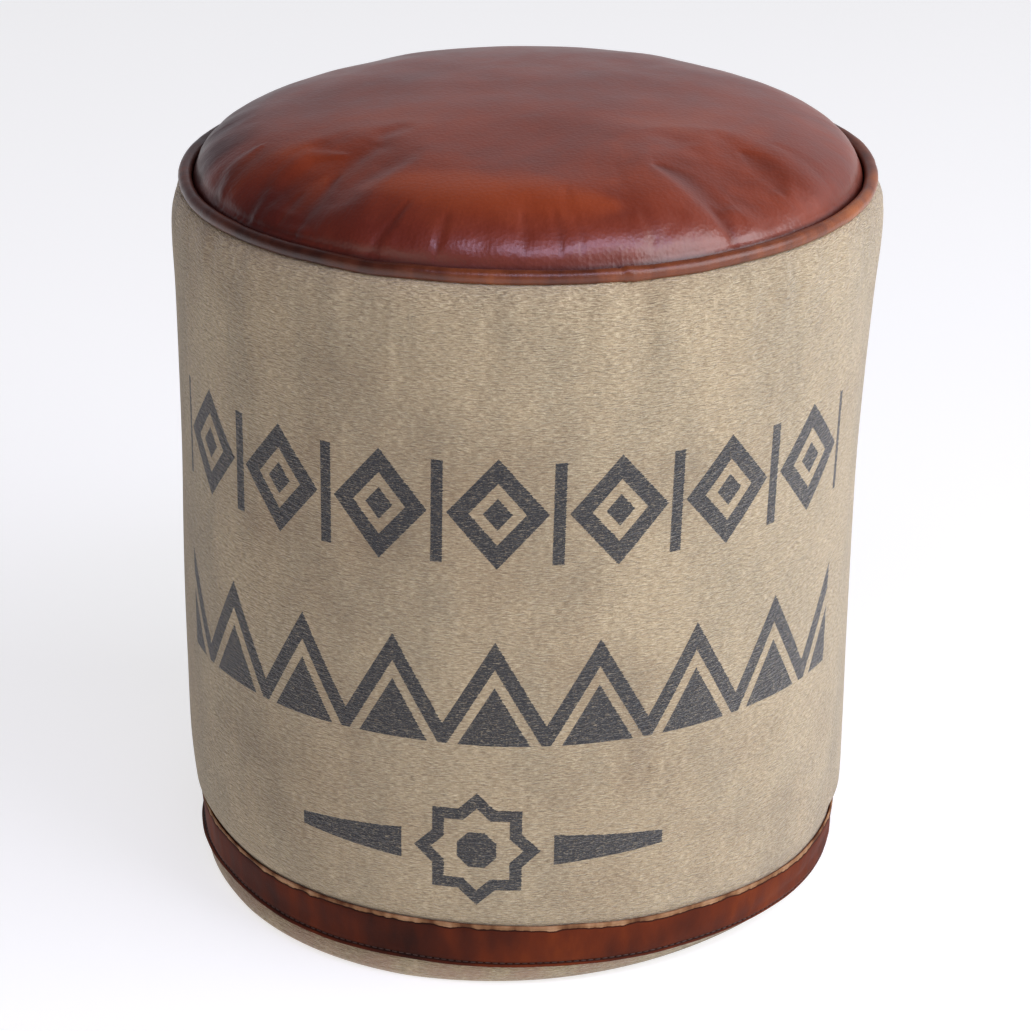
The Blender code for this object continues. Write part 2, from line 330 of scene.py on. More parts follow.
# %% Floor
floor_mesh = bpy.data.meshes.new("floor")
HALF = 9.0  # metres, from the middle to each edge of the floor
corners = [(-HALF, -HALF, 0), (HALF, -HALF, 0), (HALF, HALF, 0), (-HALF, HALF, 0)]
floor_mesh.from_pydata(corners, [], [(0, 1, 2, 3)])
floor = bpy.data.objects.new("floor", floor_mesh)
scene.collection.objects.link(floor)
floor_paint, tree = new_material("matt white studio floor")
paint = add(
    tree,
    "ShaderNodeBsdfPrincipled",
    {
        "Base Color": "#B4B4B4",
        "Roughness": 1.0,
        "Specular IOR Level": 0.0,
        "Emission Color": "#FFFFFF",
        "Emission Strength": 0.68,
    },
)
add(tree, "ShaderNodeOutputMaterial", {"Surface": paint.outputs[0]})
floor.data.materials.append(floor_paint)

# %% [markdown]
# ## Canvas
# The side is one width of brushed cotton canvas, joined by a seam at the back, pulled down over the foam
# and turned under the base. Foam never fills it evenly, so the wall has slow slack waves. Below the
# piping, where the cloth is gathered into the seam, small upright puckers fade out within a few
# centimetres. The wall is a grid over a turned line, and the waves are smooth noise added to the radius.

# %% Canvas wall
CANVAS_OUTLINE = [
    (0.150, UNDERSIDE),
    (0.1670, UNDERSIDE - 0.0006),
    (0.1760, UNDERSIDE - 0.0027),
    (0.1803, UNDERSIDE - 0.0034),
    (0.1824, UNDERSIDE - 0.0020),
    (0.1834, 0.0075),
    (0.1842, 0.0120),
    (0.1856, 0.0190),
    (0.1868, 0.0270),
    (0.1880, 0.0360),
    (0.1896, 0.0500),
    (0.1905, 0.0800),
    (0.1903, 0.1300),
    (0.1899, 0.2000),
    (0.1896, 0.2500),
    (0.1900, 0.3000),
    (0.1908, 0.3450),
    (0.1919, 0.3700),
    (0.1920, 0.3850),
    (0.1908, 0.3950),
    (0.1886, 0.4008),
    (0.1866, 0.4032),
]
canvas_line = smooth_line(CANVAS_OUTLINE, 0.0032)
wall_top = canvas_line[-1, 1]
wall_line = canvas_line[8:]  # without the flat start under the base
steps = np.linalg.norm(np.diff(canvas_line, axis=0), axis=1)
canvas_run = np.concatenate([[0], np.cumsum(steps)])
canvas_run += canvas_line[-1, 1] - canvas_run[-1]  # so that v is close to the height on the wall
SLACK, FINE_SLACK, PUCKER = 0.0016, 0.0007, 0.0017  # depths of the waves in the padded wall
PUCKER_REACH = 0.038  # how far below the seam the puckers fade


def wall_offset(angles, height):
    """How far the padded wall stands out from its turned line, for angles (columns) and heights (rows)."""
    a, z = np.meshgrid(angles, height)
    wall = np.stack([np.cos(a) * DRUM_RADIUS, np.sin(a) * DRUM_RADIUS, z], axis=-1)
    tall, upright = wall * (1, 1, 0.45), wall * (1, 1, 0.10)
    slack = SLACK * ripple(tall, 0.105, 1) + FINE_SLACK * ripple(tall, 0.045, 2)
    pucker = PUCKER * (ripple(upright, 0.0125, 3) + 0.6 * ripple(upright, 0.006, 4))
    near_top = np.exp(-((wall_top - z).clip(0) / PUCKER_REACH))
    held_low = np.clip((z - 0.006) / 0.05, 0.12, 1)
    held_top = np.clip((wall_top + 0.001 - z) / 0.010, 0.05, 1)
    flare = 0.0042 * hill(bearing(a), -128, 30) - 0.0034 * hill(bearing(a), -50, 28)
    flare *= 1 - grow(z, 0.006, 0.022)
    pinch = (0.0009 + 0.0020 * np.cos(a) ** 4) * grow(z, 0.013, 0.017) * (1 - grow(z, 0.041, 0.046))
    slip = 0.0016 * np.cos(a) * hill(z, 0.035, 0.028)
    return (slack * held_low + pucker * near_top) * held_top + flare - pinch + slip


def back_ridge(angles, height):
    """The turned seam allowance behind the upright join at the back."""
    arc = arc_from(math.pi / 2, np.meshgrid(angles, height)[0], DRUM_RADIUS)
    return 0.0009 * hill(np.abs(arc), 0.004, 0.003) - 0.0010 * hill(arc, 0, 0.0012)


FLOOR_GAP = 0.0008  # the hem hangs clear of the floor
line_out = beside(canvas_line, 1.0) - canvas_line
push = wall_offset(ANGLES, canvas_line[:, 1])
push += back_ridge(ANGLES, canvas_line[:, 1]) * np.clip(line_out[:, :1], 0, 1)
canvas_points = around(
    canvas_line[:, :1] + line_out[:, :1] * push,
    np.maximum(canvas_line[:, 1:] + line_out[:, 1:] * push, FLOOR_GAP),
)
canvas = grid_object("canvas_wall", canvas_points, ring_uv(canvas_run, COLUMNS, DRUM_RADIUS))
print("canvas", len(canvas.data.polygons), "faces, wall up to", round(wall_top, 4))

# %% [markdown]
# ## Seat leather
# The seat is one round of leather over a crowned fibre filling. Its edge is longer than the seam it is
# sewn to, so it gathers into soft folds that point at the middle. Blender's cloth simulation makes those
# folds: the sheet is set to grow a little while its edge is held and air pressure fills it. The crown's
# own shape is kept, so only what the simulation adds to it is used.

# %% Seat line
CROWN_OUTLINE = [  # distance from the middle, and height above the crown's edge
    (0.0000, CROWN_Z - DOME_EDGE_Z),
    (0.0300, 0.0394),
    (0.0600, 0.0380),
    (0.1000, 0.0346),
    (0.1250, 0.0306),
    (0.1450, 0.0256),
    (0.1580, 0.0202),
    (0.1673, 0.0152),
    (0.1733, 0.0106),
    (0.1777, 0.0053),
    (DOME_R, 0.0000),
    (0.1811, -0.0030),
    (0.1817, -0.0060),
    (0.1821, -0.0100),
    (0.1822, -0.0140),
]
SEAT_CELLS = 104
seat_line = smooth_line([(r, DOME_EDGE_Z + z) for r, z in CROWN_OUTLINE], 0.001)
seat_run = np.linspace(0, 1, len(seat_line))
DOME_SHARE = float(np.interp(DOME_R, seat_line[:, 0], seat_run))


def seat_place(share, angle):
    """A point of the smooth crown, from its share of the way from the middle to the seam."""
    radius = np.interp(share, seat_run, seat_line[:, 0])
    height = np.interp(share, seat_run, seat_line[:, 1])
    return np.stack([radius * np.cos(angle), radius * np.sin(angle), height], axis=-1)


def round_grid(cells):
    """A square grid laid on the unit disc: the x, y, share of the radius and angle of each point."""
    side = np.linspace(-1, 1, cells + 1)
    gx, gy = np.meshgrid(side, side)
    x, y = gx * np.sqrt(1 - gy**2 / 2), gy * np.sqrt(1 - gx**2 / 2)
    return x, y, np.hypot(x, y).clip(0, 1), np.arctan2(y, x)


# %% Seat trial grid
disc_x, disc_y, seat_share, seat_angle = round_grid(SEAT_CELLS)
crown_points = seat_place(seat_share, seat_angle)
seat_uv = np.stack([disc_x, disc_y], axis=-1) * DRUM_RADIUS
trial = grid_object("seat_trial", crown_points, seat_uv, close_columns=False)


# %% Seat folds by simulation
def gathered(trial, share):
    """What the cloth simulation adds to the crown, as an offset for each point."""
    pins = trial.vertex_groups.new(name="seam")
    for i, s in enumerate(share.ravel()):
        pins.add([i], float(np.clip((s - 0.93) / 0.05, 0, 1)), "REPLACE")
    cloth = trial.modifiers.new("cloth", "CLOTH")
    settings = cloth.settings
    settings.vertex_group_mass = "seam"
    settings.quality = 6
    settings.mass = 0.4
    settings.tension_stiffness = settings.compression_stiffness = 40
    settings.shear_stiffness = 20
    settings.bending_stiffness = 1.2
    settings.shrink_min = -0.030
    settings.use_pressure = True
    settings.uniform_pressure_force = 3.0
    settings.effector_weights.gravity = 0
    cloth.collision_settings.use_collision = False
    for number in range(1, 22):
        scene.frame_set(number)
    settled = trial.evaluated_get(bpy.context.evaluated_depsgraph_get())
    moved = np.empty(len(trial.data.vertices) * 3, np.float32)
    settled.data.vertices.foreach_get("co", moved)
    scene.frame_set(1)
    return moved.reshape(*share.shape, 3) - crown_points


def folds_only(offset, share):
    """The height that the folds add, above the average at the same distance from the middle."""
    height = offset[..., 2] * np.sqrt(np.clip(1 - share**6, 0, 1))
    rings = np.round(share * 30).astype(int)
    total = np.bincount(rings.ravel(), height.ravel())
    mean = total / np.maximum(np.bincount(rings.ravel()), 1)
    mean[1:-1] = (mean[:-2] + mean[1:-1] + mean[2:]) / 3
    return height - np.interp(share * 30, np.arange(len(mean)), mean)


fold = folds_only(gathered(trial, seat_share), seat_share)
bpy.data.objects.remove(trial)
print("seat folds from", round(float(fold.min()) * 1000, 2), "to", round(float(fold.max()) * 1000, 2), "mm")

# %% [markdown]
# The simulated folds are laid on a grid twice as fine, where the marks of use are added: long soft
# ridges where people always sit down on the left, a few sharp creases near the seam, and a crumple of fine
# upright wrinkles along the edge, where the leather was eased into the seam. Each crease is a short line
# with a sunken middle and two raised shoulders. A second value holds painted shade: how much the leather's
# colour is darkened in each crease, in the troughs of the edge wrinkles, along the seam and on the left side.

# %% Seat creases
FINE = 2
disc_x, disc_y, share, angle = round_grid(SEAT_CELLS * FINE)
surface = seat_place(share, angle)


def finer(values):
    """A grid of values at the finer spacing, smoothed so that no step shows."""
    at = np.linspace(0, len(values) - 1, len(share))
    rows = np.array([np.interp(at, np.arange(len(values)), row) for row in values])
    both = np.array([np.interp(at, np.arange(len(values)), column) for column in rows.T]).T
    for axis in (0, 1, 0, 1):
        both = (np.roll(both, 1, axis) + 2 * both + np.roll(both, -1, axis)) / 4
    return both


def crease(line, width, depth, shoulder):
    """The height of one crease along a line of (x, y) points on the seat, and a mask that is 1 along its
    middle, used for its painted shade.
    """
    place = surface[..., :2]
    nearest = np.full(share.shape, 1.0)
    for k, (a, b) in enumerate(zip(line[:-1], line[1:])):
        a, b = np.array(a), np.array(b)
        t = np.clip(((place - a) @ (b - a)) / ((b - a) @ (b - a)), 0, 1)
        along = (k + t) / (len(line) - 1)
        away = np.linalg.norm(place - a - t[..., None] * (b - a), axis=-1)
        wide = width * (0.20 + 0.80 * np.sin(math.pi * (0.04 + 0.92 * along)))
        nearest = np.minimum(nearest, away / wide)
    dip = hill(nearest, 0, 1)
    return shoulder * hill(nearest, 2, 1) - depth * dip, dip


CREASES = [  # line, width, depth (less than nothing for a ridge) and shoulder height
    ([(-0.059, -0.143), (-0.067, -0.153), (-0.078, -0.162), (-0.084, -0.161)], 0.0036, 0.0008, 0.0004),
    ([(-0.095, -0.083), (-0.114, -0.076), (-0.128, -0.089), (-0.142, -0.113)], 0.0075, -0.0012, -0.0002),
    ([(-0.140, -0.054), (-0.153, -0.065), (-0.161, -0.083)], 0.0070, -0.0010, -0.0002),
    ([(-0.098, -0.100), (-0.112, -0.122), (-0.120, -0.136)], 0.0070, 0.0008, 0.0003),
    ([(0.065, -0.108), (0.079, -0.116), (0.092, -0.129), (0.102, -0.146)], 0.0110, 0.0010, 0.0006),
    ([(0.044, -0.112), (0.047, -0.140), (0.049, -0.161)], 0.0060, 0.0002, 0.0002),
    ([(0.018, -0.138), (0.019, -0.155), (0.020, -0.172)], 0.0050, 0.0004, 0.0003),
    ([(0.111, -0.075), (0.122, -0.085), (0.131, -0.102)], 0.0110, 0.0008, 0.0004),
    ([(0.128, -0.060), (0.146, -0.070), (0.158, -0.080)], 0.0080, 0.0004, 0.0002),
    ([(-0.003, -0.158), (-0.002, -0.168), (-0.003, -0.177)], 0.0042, 0.0006, 0.0003),
    ([(0.012, -0.156), (0.015, -0.167), (0.015, -0.176)], 0.0046, 0.0007, 0.0004),
    ([(0.022, -0.159), (0.025, -0.168), (0.025, -0.175)], 0.0038, 0.0005, 0.0003),
    ([(0.055, -0.150), (0.060, -0.159), (0.061, -0.167)], 0.0042, 0.0005, 0.0003),
    ([(0.090, -0.133), (0.097, -0.141), (0.101, -0.147)], 0.0045, 0.0008, 0.0004),
    ([(-0.118, -0.107), (-0.124, -0.116), (-0.128, -0.123)], 0.0045, 0.0007, 0.0004),
    ([(-0.040, -0.155), (-0.043, -0.164), (-0.046, -0.172)], 0.0042, 0.0006, 0.0003),
]
RUBBED = [  # where the wax is rubbed thin and the orange brown shows, and how wide
    ([(-0.081, -0.121), (-0.035, -0.136), (0.014, -0.149), (0.040, -0.150)], 0.024),
    ([(-0.106, -0.100), (-0.116, -0.113), (-0.126, -0.121)], 0.014),
    ([(-0.146, -0.060), (-0.152, -0.086)], 0.010),
]
calm = 0.08 + 0.50 * np.clip(-np.sin(angle) + 0.45 * np.clip(-np.cos(angle), 0, 1), 0, 1)
relief = calm * finer(fold)
worn = np.zeros(share.shape)
# each crease adds its relief, and painted shade darkens its middle, more for deeper creases
for line, width, depth, shoulder in CREASES:
    added, dark = crease(line, width, depth, shoulder)
    relief += added
    worn = np.maximum(worn, dark * np.clip(depth * 550, 0.0, 0.6))

rubbed = np.zeros(share.shape)
for line, width in RUBBED:
    rubbed = np.maximum(rubbed, crease(line, width, 0.0, 0.0)[1])

# %% Seat edge wrinkles
spot = np.stack([np.cos(angle), np.sin(angle), 0.16 * share], axis=-1) * DOME_R
small, medium = ripple(spot, 0.0062, 11), ripple(spot, 0.0130, 12)
edge_zone = grow(share, 0.74, 0.88) * np.clip((DOME_SHARE + 0.004 - share) / 0.030, 0.15, 1)
patchy = np.clip(0.5 + 0.9 * ripple(surface, 0.055, 13), 0.1, 1)
wrinkles = edge_zone * patchy * (0.00013 * small + 0.00055 * medium)
broad = 0.0006 * ripple(surface * (1, 1, 0), 0.034, 14) * np.clip(1 - share**8, 0, 1)
relief += wrinkles + broad
# painted shade in the troughs of the fine edge wrinkles
worn = np.maximum(worn, np.clip(-small * edge_zone, 0, 1) * 0.3)
# painted shade: a dark line along the seam, where the leather turns down beside the piping
worn = np.maximum(worn, grow(share, DOME_SHARE - 0.006, DOME_SHARE + 0.006))
# painted shade on the left of the seat, towards its edge, where less light falls, broken up by noise
folded = np.clip(0.70 + 0.9 * ripple(spot, 0.026, 15), 0.25, 1)
left_painted_shade = grow(share, 0.66, 0.82) * np.clip(-1.5 * np.cos(angle) - 0.25, 0, 1)
worn = np.maximum(worn, left_painted_shade * folded)

# %% Seat panel
ahead = seat_place((share + 0.004).clip(0, 1), angle) - seat_place((share - 0.004).clip(0, 1), angle)
run, rise = np.hypot(ahead[..., 0], ahead[..., 1]), ahead[..., 2]
outward = np.stack([-rise * np.cos(angle), -rise * np.sin(angle), run], axis=-1)
outward /= np.linalg.norm(outward, axis=-1)[..., None]
relief = np.where(share > DOME_SHARE, relief * 0.35, relief)
seat_points = surface + outward * relief[..., None]
seat_points[..., 0] += lean(SEAM_Z)
seat_points[..., 2] += 0.0002 - max(0.0, float(seat_points[..., 2].max()) - CROWN_Z - 0.0012)
seat_uv = np.stack([disc_x, disc_y], axis=-1) * DRUM_RADIUS
seat = grid_object("seat_leather_panel", seat_points, seat_uv, close_columns=False)
# crease holds the painted shade that darkens the seat's colour; rub, where the wax is rubbed thin; ridge, the
# relief
SEAT_VALUES = {"crease": worn, "rub": rubbed, "ridge": (relief * 500).clip(-1, 1)}
for name, grid in SEAT_VALUES.items():
    kept = seat.data.attributes.new(name, "FLOAT", "POINT")
    kept.data.foreach_set("value", grid.reshape(-1).astype(np.float32))


def thicken(piece, thickness):
    """Give a skin its real thickness, added on the inside."""
    solid = piece.modifiers.new("thickness", "SOLIDIFY")
    solid.thickness = thickness
    solid.offset = -1
    solid.use_rim = True


thicken(seat, LEATHER_THICK)
thicken(canvas, CANVAS_THICK)
print("seat", len(seat.data.polygons), "faces, top at", round(float(seat_points[..., 2].max()), 4))

# %% [markdown]
# ## Piping
# The piping is a strip of leather folded round a cotton cord. Its two raw edges are sewn into the seam, so
# its section is a round with a tail that goes down between the seat leather and the canvas. The strip is
# cut by hand and wanders a little. Where its two ends meet, near the front, one laps over the other on a
# slant and makes a small lump.

# %% Piping cover
PIPING_COLUMNS = 720
turn = all_round(PIPING_COLUMNS)
ring = circle(turn, PIPING_RING)
wander_r = 0.00045 * ripple(ring, 0.060, 21) + 0.00012 * ripple(ring, 0.012, 22)
wander_z = 0.00065 * ripple(ring, 0.080, 23) + 0.00020 * ripple(ring, 0.016, 24)
SPLICE, KINK = math.radians(-75.5), math.radians(-115)
splice_arc = arc_from(SPLICE, turn, PIPING_RING)
wander_z -= 0.0009 * hill(arc_from(KINK, turn, PIPING_RING), 0, 0.016)

round_turn = np.radians(np.linspace(-118, 208, 19))
tail = [(-0.0014, -0.0062), (-0.0012, -0.0105), (-0.0028, -0.0106), (-0.0030, -0.0062)]
section = np.array([*zip(PIPING_R * np.cos(round_turn), PIPING_R * np.sin(round_turn)), *reversed(tail)])
is_round = np.array([1.0] * len(round_turn) + [0.0] * len(tail))[:, None]
section_turn = np.concatenate([round_turn, np.full(len(tail), math.radians(-135))])[:, None]
lap = 0.17 * hill(splice_arc, 0, 0.008) * (splice_arc > -0.001)
slant = splice_arc[None, :] + 0.0016 * section_turn
groove = 0.20 * hill(slant, 0, 0.0008)
swell = 1 + 0.05 * ripple(ring, 0.030, 25)[None, :] + 0.03 * ripple(ring, 0.007, 26)[None, :]
swell = np.where(is_round > 0, swell + lap[None, :] - groove, 1.0)
radius = PIPING_RING + wander_r[None, :] * is_round + section[:, :1] * swell
height = SEAM_Z + wander_z[None, :] * is_round + section[:, 1:] * swell
piping_points = around(radius, height, turn)
section_run = np.concatenate([[0], np.cumsum(np.linalg.norm(np.diff(section, axis=0), axis=1))])
piping_uv = ring_uv([*section_run, section_run[-1] + 0.001], PIPING_COLUMNS, PIPING_RING)
piping = grid_object("piping_cover", piping_points, piping_uv, close_rows=True)
print("piping", len(piping.data.polygons), "faces,", round(2 * PIPING_R * 1000, 1), "mm thick")

# %% Piping cord
CORD_SIDES, CORD_COLUMNS, CORD_R = 10, 480, 0.0017
cord_turn = all_round(CORD_COLUMNS)
cord_side = math.tau * np.arange(CORD_SIDES) / CORD_SIDES
twist = cord_side[:, None] + 120 * cord_turn[None, :]
cord_r = CORD_R * (1 + 0.14 * np.cos(3 * twist))
cord_points = around(
    PIPING_RING + cord_r * np.cos(cord_side[:, None]),
    SEAM_Z + cord_r * np.sin(cord_side[:, None]),
    cord_turn,
)
cord_uv = ring_uv(np.arange(CORD_SIDES + 1) * 0.001, CORD_COLUMNS, PIPING_RING)
cord = grid_object("piping_cord_twist", cord_points, cord_uv, close_rows=True)
print("cord", len(cord.data.polygons), "faces")

# %% [markdown]
# ## Leather band
# A strip of the same brown leather as the piping is sewn round the canvas near the base. Its lower edge is
# folded under and stitched close to the fold. Its upper edge is cut and burnished, and shows the paler
# inside of the hide as a thin raised lip. The band is laid on the canvas wall, so it follows every wave.

# %% Band ring
BAND_COLUMNS = 480
BAND_FOOT = 0.0150
BAND_HEAD = band_high.z + 0.0007
band_turn = all_round(BAND_COLUMNS)
wide = BAND_HEAD - BAND_FOOT
BAND_SECTION = [  # height above the foot, and distance out from the canvas
    (0.0006, 0.0003),
    (0.0000, 0.0009),
    (0.0000, 0.0018),
    (0.0006, 0.0026),
    (0.0014, 0.0028),
    (0.0021, 0.0023),
    (0.0026, 0.0017),
    (0.0031, 0.0021),
    (0.0038, 0.0026),
    (0.0060, 0.0027),
    (0.0095, 0.0026),
    (0.0130, 0.0026),
    (0.0165, 0.0026),
    (0.0200, 0.0025),
    (wide - 0.0052, 0.0024),
    (wide - 0.0036, 0.0023),
    (wide - 0.0027, 0.0019),
    (wide - 0.0022, 0.0016),
    (wide - 0.0018, 0.0017),
    (wide - 0.0013, 0.0019),
    (wide - 0.0007, 0.0020),
    (wide - 0.0002, 0.0017),
    (wide, 0.0011),
    (wide - 0.0004, 0.0004),
    (wide - 0.0060, 0.0002),
    (wide * 0.5, 0.0002),
    (0.0060, 0.0002),
]
band_section = np.array(BAND_SECTION)
BAND_BACK_ROW = 23  # the rows of the section from here on lie on the canvas
GROOVE_ROW = 6  # the row in the stitched crease
ring = circle(band_turn, DRUM_RADIUS)
head_wander = 0.0009 * ripple(ring, 0.070, 31) + 0.0004 * ripple(ring, 0.020, 32)
foot_wander = 0.0006 * ripple(ring, 0.060, 33) + 0.0003 * ripple(ring, 0.018, 34)
share_up = band_section[:, :1] / wide
right, left = (1 + np.cos(band_turn)) / 2, (1 - np.cos(band_turn)) / 2
skew = -0.0033 * np.cos(band_turn) - 0.0075 * right**6 - 0.0060 * left**18
skew -= 0.0027 * hill(bearing(band_turn), -127, 24)
band_v = BAND_FOOT + skew + band_section[:, :1] + share_up * head_wander + (1 - share_up) * foot_wander
outer = grow(band_section[:, 1:], 0.0003, 0.0018)
places = np.stack(np.broadcast_arrays(ring[:, 0], ring[:, 1], 0.5 * (band_v - BAND_FOOT)), axis=-1)
pillow = 0.00045 * ripple(places, 0.017, 35) + 0.00022 * ripple(places, 0.0075, 36)
band_out = band_section[:, 1:] + outer * pillow * np.sin(math.pi * share_up.clip(0, 1)) ** 0.5
wall_here = np.interp(band_v, wall_line[:, 1], wall_line[:, 0])
lean_out = np.gradient(canvas_line[:, 0], canvas_line[:, 1] + 1e-9 * np.arange(len(canvas_line)))
fall_here = np.interp(band_v, wall_line[:, 1], lean_out[-len(wall_line) :]).clip(-0.2, 0.5)
wall_push = np.array([wall_offset([a], band_v[:, k])[:, 0] for k, a in enumerate(band_turn)]).T
band_points = around(
    wall_here + wall_push + band_out / np.sqrt(1 + fall_here**2),
    band_v - band_out * fall_here / np.sqrt(1 + fall_here**2),
    band_turn,
)
band_uv = ring_uv([*band_section[:, 0], 0.0], BAND_COLUMNS, DRUM_RADIUS)
band_uv[BAND_BACK_ROW:, :, 1] = -0.01
band = grid_object("leather_band_strip", band_points, band_uv, close_rows=True)
print("band", len(band.data.polygons), "faces, from", round(BAND_FOOT, 4), "to", round(BAND_HEAD, 4))

# %% [markdown]
# ## Stitches and staples
# The stitches, and the staples under the base, are repeats of one small shape along a line. A Geometry
# Nodes tree spaces the copies evenly along the line, turns each along it, and shifts and turns it a little
# at random, because they are worked by hand. The line is taken from the surface that it is sewn through.


# %% Small shapes
def bead_shape(name, length, thick, sides=6, flat=1.0):
    """A short rounded bar along X: a stitch of thread, or the crown of a staple."""
    rows = []
    for x, r in ((-0.50, 0.35), (-0.40, 0.85), (-0.15, 1.0), (0.15, 1.0), (0.40, 0.85), (0.50, 0.35)):
        for k in range(sides):
            a = math.tau * (k + 0.5) / sides
            rows.append((x * length, 0.5 * thick * r * math.cos(a), 0.5 * thick * r * math.sin(a) * flat))
    faces = []
    for row in range(5):
        for k in range(sides):
            n = (k + 1) % sides
            faces.append((row * sides + k, row * sides + n, (row + 1) * sides + n, (row + 1) * sides + k))
    faces.append(tuple(reversed(range(sides))))
    faces.append(tuple(5 * sides + k for k in range(sides)))
    mesh = bpy.data.meshes.new(name)
    mesh.from_pydata(rows, [], faces)
    made = bmesh.new()
    made.from_mesh(mesh)
    bmesh.ops.recalc_face_normals(made, faces=made.faces)
    made.to_mesh(mesh)
    made.free()
    mesh.shade_smooth()
    return bpy.data.objects.new(name, mesh)


def line_object(name, points, closed):
    """A row of edges through the points, which the copies follow."""
    mesh = bpy.data.meshes.new(name)
    count = len(points)
    edges = [(k, (k + 1) % count) for k in range(count if closed else count - 1)]
    mesh.from_pydata([tuple(p) for p in points], edges, [])
    made = bpy.data.objects.new(name, mesh)
    scene.collection.objects.link(made)
    return made


# %% Repeat tree
def repeat_tree():
    """A Geometry Nodes tree that sets copies of a shape along a line."""
    tree = bpy.data.node_groups.new("copies along a line", "GeometryNodeTree")
    kinds = {"Geometry": "Geometry", "Shape": "Object", "Pitch": "Float", "Yaw": "Float", "Drift": "Float"}
    for name, kind in {**kinds, "Material": "Material"}.items():
        tree.interface.new_socket(name, in_out="INPUT", socket_type=f"NodeSocket{kind}")
    tree.interface.new_socket("Geometry", in_out="OUTPUT", socket_type="NodeSocketGeometry")
    given = add(tree, "NodeGroupInput").outputs
    curve = add(tree, "GeometryNodeMeshToCurve", {"Mesh": given["Geometry"]}).outputs[0]
    spaced = add(
        tree, "GeometryNodeCurveToPoints", {"Curve": curve, "Length": given["Pitch"]}, mode="LENGTH"
    ).outputs
    along = add(tree, "FunctionNodeAlignRotationToVector", {"Vector": spaced["Tangent"]}, axis="X").outputs[0]
    less_yaw = add(tree, "ShaderNodeMath", {0: given["Yaw"], 1: -1.0}, operation="MULTIPLY").outputs[0]
    yaw = add(
        tree, "FunctionNodeRandomValue", {"Min": less_yaw, "Max": given["Yaw"], "Seed": 5}, data_type="FLOAT"
    )
    yaw_value = next(o for o in yaw.outputs if o.enabled)
    spin = add(tree, "FunctionNodeAxisAngleToRotation", {"Axis": (0, 0, 1), "Angle": yaw_value}).outputs[0]
    turned = add(tree, "FunctionNodeRotateRotation", {0: along, 1: spin}, rotation_space="LOCAL").outputs[0]
    shape = add(tree, "GeometryNodeObjectInfo", {"Object": given["Shape"]}).outputs["Geometry"]
    low = add(tree, "ShaderNodeMath", {0: given["Drift"], 1: -1.0}, operation="MULTIPLY").outputs[0]
    drift = add(
        tree, "FunctionNodeRandomValue", {"Min": low, "Max": given["Drift"], "Seed": 9}, data_type="FLOAT"
    )
    drift_value = next(o for o in drift.outputs if o.enabled)
    shift = add(tree, "ShaderNodeCombineXYZ", {"Z": drift_value}).outputs[0]
    moved = add(tree, "GeometryNodeSetPosition", {"Geometry": spaced["Points"], "Offset": shift}).outputs[0]
    copies = add(
        tree, "GeometryNodeInstanceOnPoints", {"Points": moved, "Instance": shape, "Rotation": turned}
    ).outputs[0]
    real = add(tree, "GeometryNodeRealizeInstances", {0: copies}).outputs[0]
    dressed = add(tree, "GeometryNodeSetMaterial", {0: real, "Material": given["Material"]}).outputs[0]
    add(tree, "NodeGroupOutput", {0: dressed})
    return tree


REPEAT = repeat_tree()


def copies_along(name, points, closed, shape, material, pitch, yaw=0.0, drift=0.0):
    """An object with copies of a shape along a line of points."""
    piece = line_object(name, points, closed)
    modifier = piece.modifiers.new("copies", "NODES")
    values = {"Shape": shape, "Pitch": pitch, "Yaw": yaw, "Drift": drift, "Material": material}
    modifier.node_group = REPEAT
    for item in REPEAT.interface.items_tree:
        if item.in_out == "INPUT" and item.name in values:
            modifier[item.identifier] = values[item.name]
    ready = piece.evaluated_get(bpy.context.evaluated_depsgraph_get())
    mesh = bpy.data.meshes.new_from_object(ready)
    piece.modifiers.clear()
    piece.data = mesh
    mesh.name = name
    print(name, len(mesh.polygons), "faces")
    return piece

# %% [markdown]
# ## Leather finishes
# The seat is pull-up leather: dyed a deep red brown, waxed and glazed. Stretching and rubbing move the wax
# and bring up orange brown. Shade is painted into its colour: darker in the creases, along the seam, and
# towards the left and at the left rim, where less light falls. The glaze gives a clear gloss over a
# fine pebbled grain. The trim is the same hide in a matter, drier state.


# %% Seat leather
seat_leather, tree = new_material("antiqued pull-up leather, waxed and glazed")
place = add(tree, "ShaderNodeTexCoord").outputs["Object"]
centred = add(tree, "ShaderNodeMapping", {0: place, "Location": (-LEAN, 0, 0)}).outputs[0]
clouds = add(
    tree,
    "ShaderNodeTexNoise",
    {"Vector": centred, "Scale": 13, "Detail": 5, "Roughness": 0.55, "Distortion": 0.4},
).outputs["Fac"]
mottle = add(
    tree, "ShaderNodeTexNoise", {"Vector": centred, "Scale": 75, "Detail": 4, "Roughness": 0.6}
).outputs["Fac"]
marks = {
    name: add(tree, "ShaderNodeAttribute", attribute_name=name).outputs["Fac"] for name in SEAT_VALUES
}
grain = add(tree, "ShaderNodeTexVoronoi", {"Vector": centred, "Scale": 470}).outputs["Distance"]
flat = add(tree, "ShaderNodeVectorMath", {0: centred, 1: (1, 1, 0)}, operation="MULTIPLY").outputs[0]
reach = add(tree, "ShaderNodeVectorMath", {0: flat}, operation="LENGTH").outputs["Value"]
way = add(tree, "ShaderNodeVectorMath", {0: flat}, operation="NORMALIZE").outputs[0]
spokes = add(tree, "ShaderNodeVectorMath", {0: way, "Scale": DOME_R}, operation="SCALE").outputs[0]
outwards = add(tree, "ShaderNodeMath", {0: reach, 1: 0.16}, operation="MULTIPLY").outputs[0]
climb = add(tree, "ShaderNodeCombineXYZ", {"Z": outwards}).outputs[0]
gathers = add(tree, "ShaderNodeVectorMath", {0: spokes, 1: climb}, operation="ADD").outputs[0]
pleats = add(tree, "ShaderNodeTexNoise", {"Vector": gathers, "Scale": 300, "Detail": 2}).outputs["Fac"]
seat_x = add(tree, "ShaderNodeSeparateXYZ", {0: centred}).outputs[0]
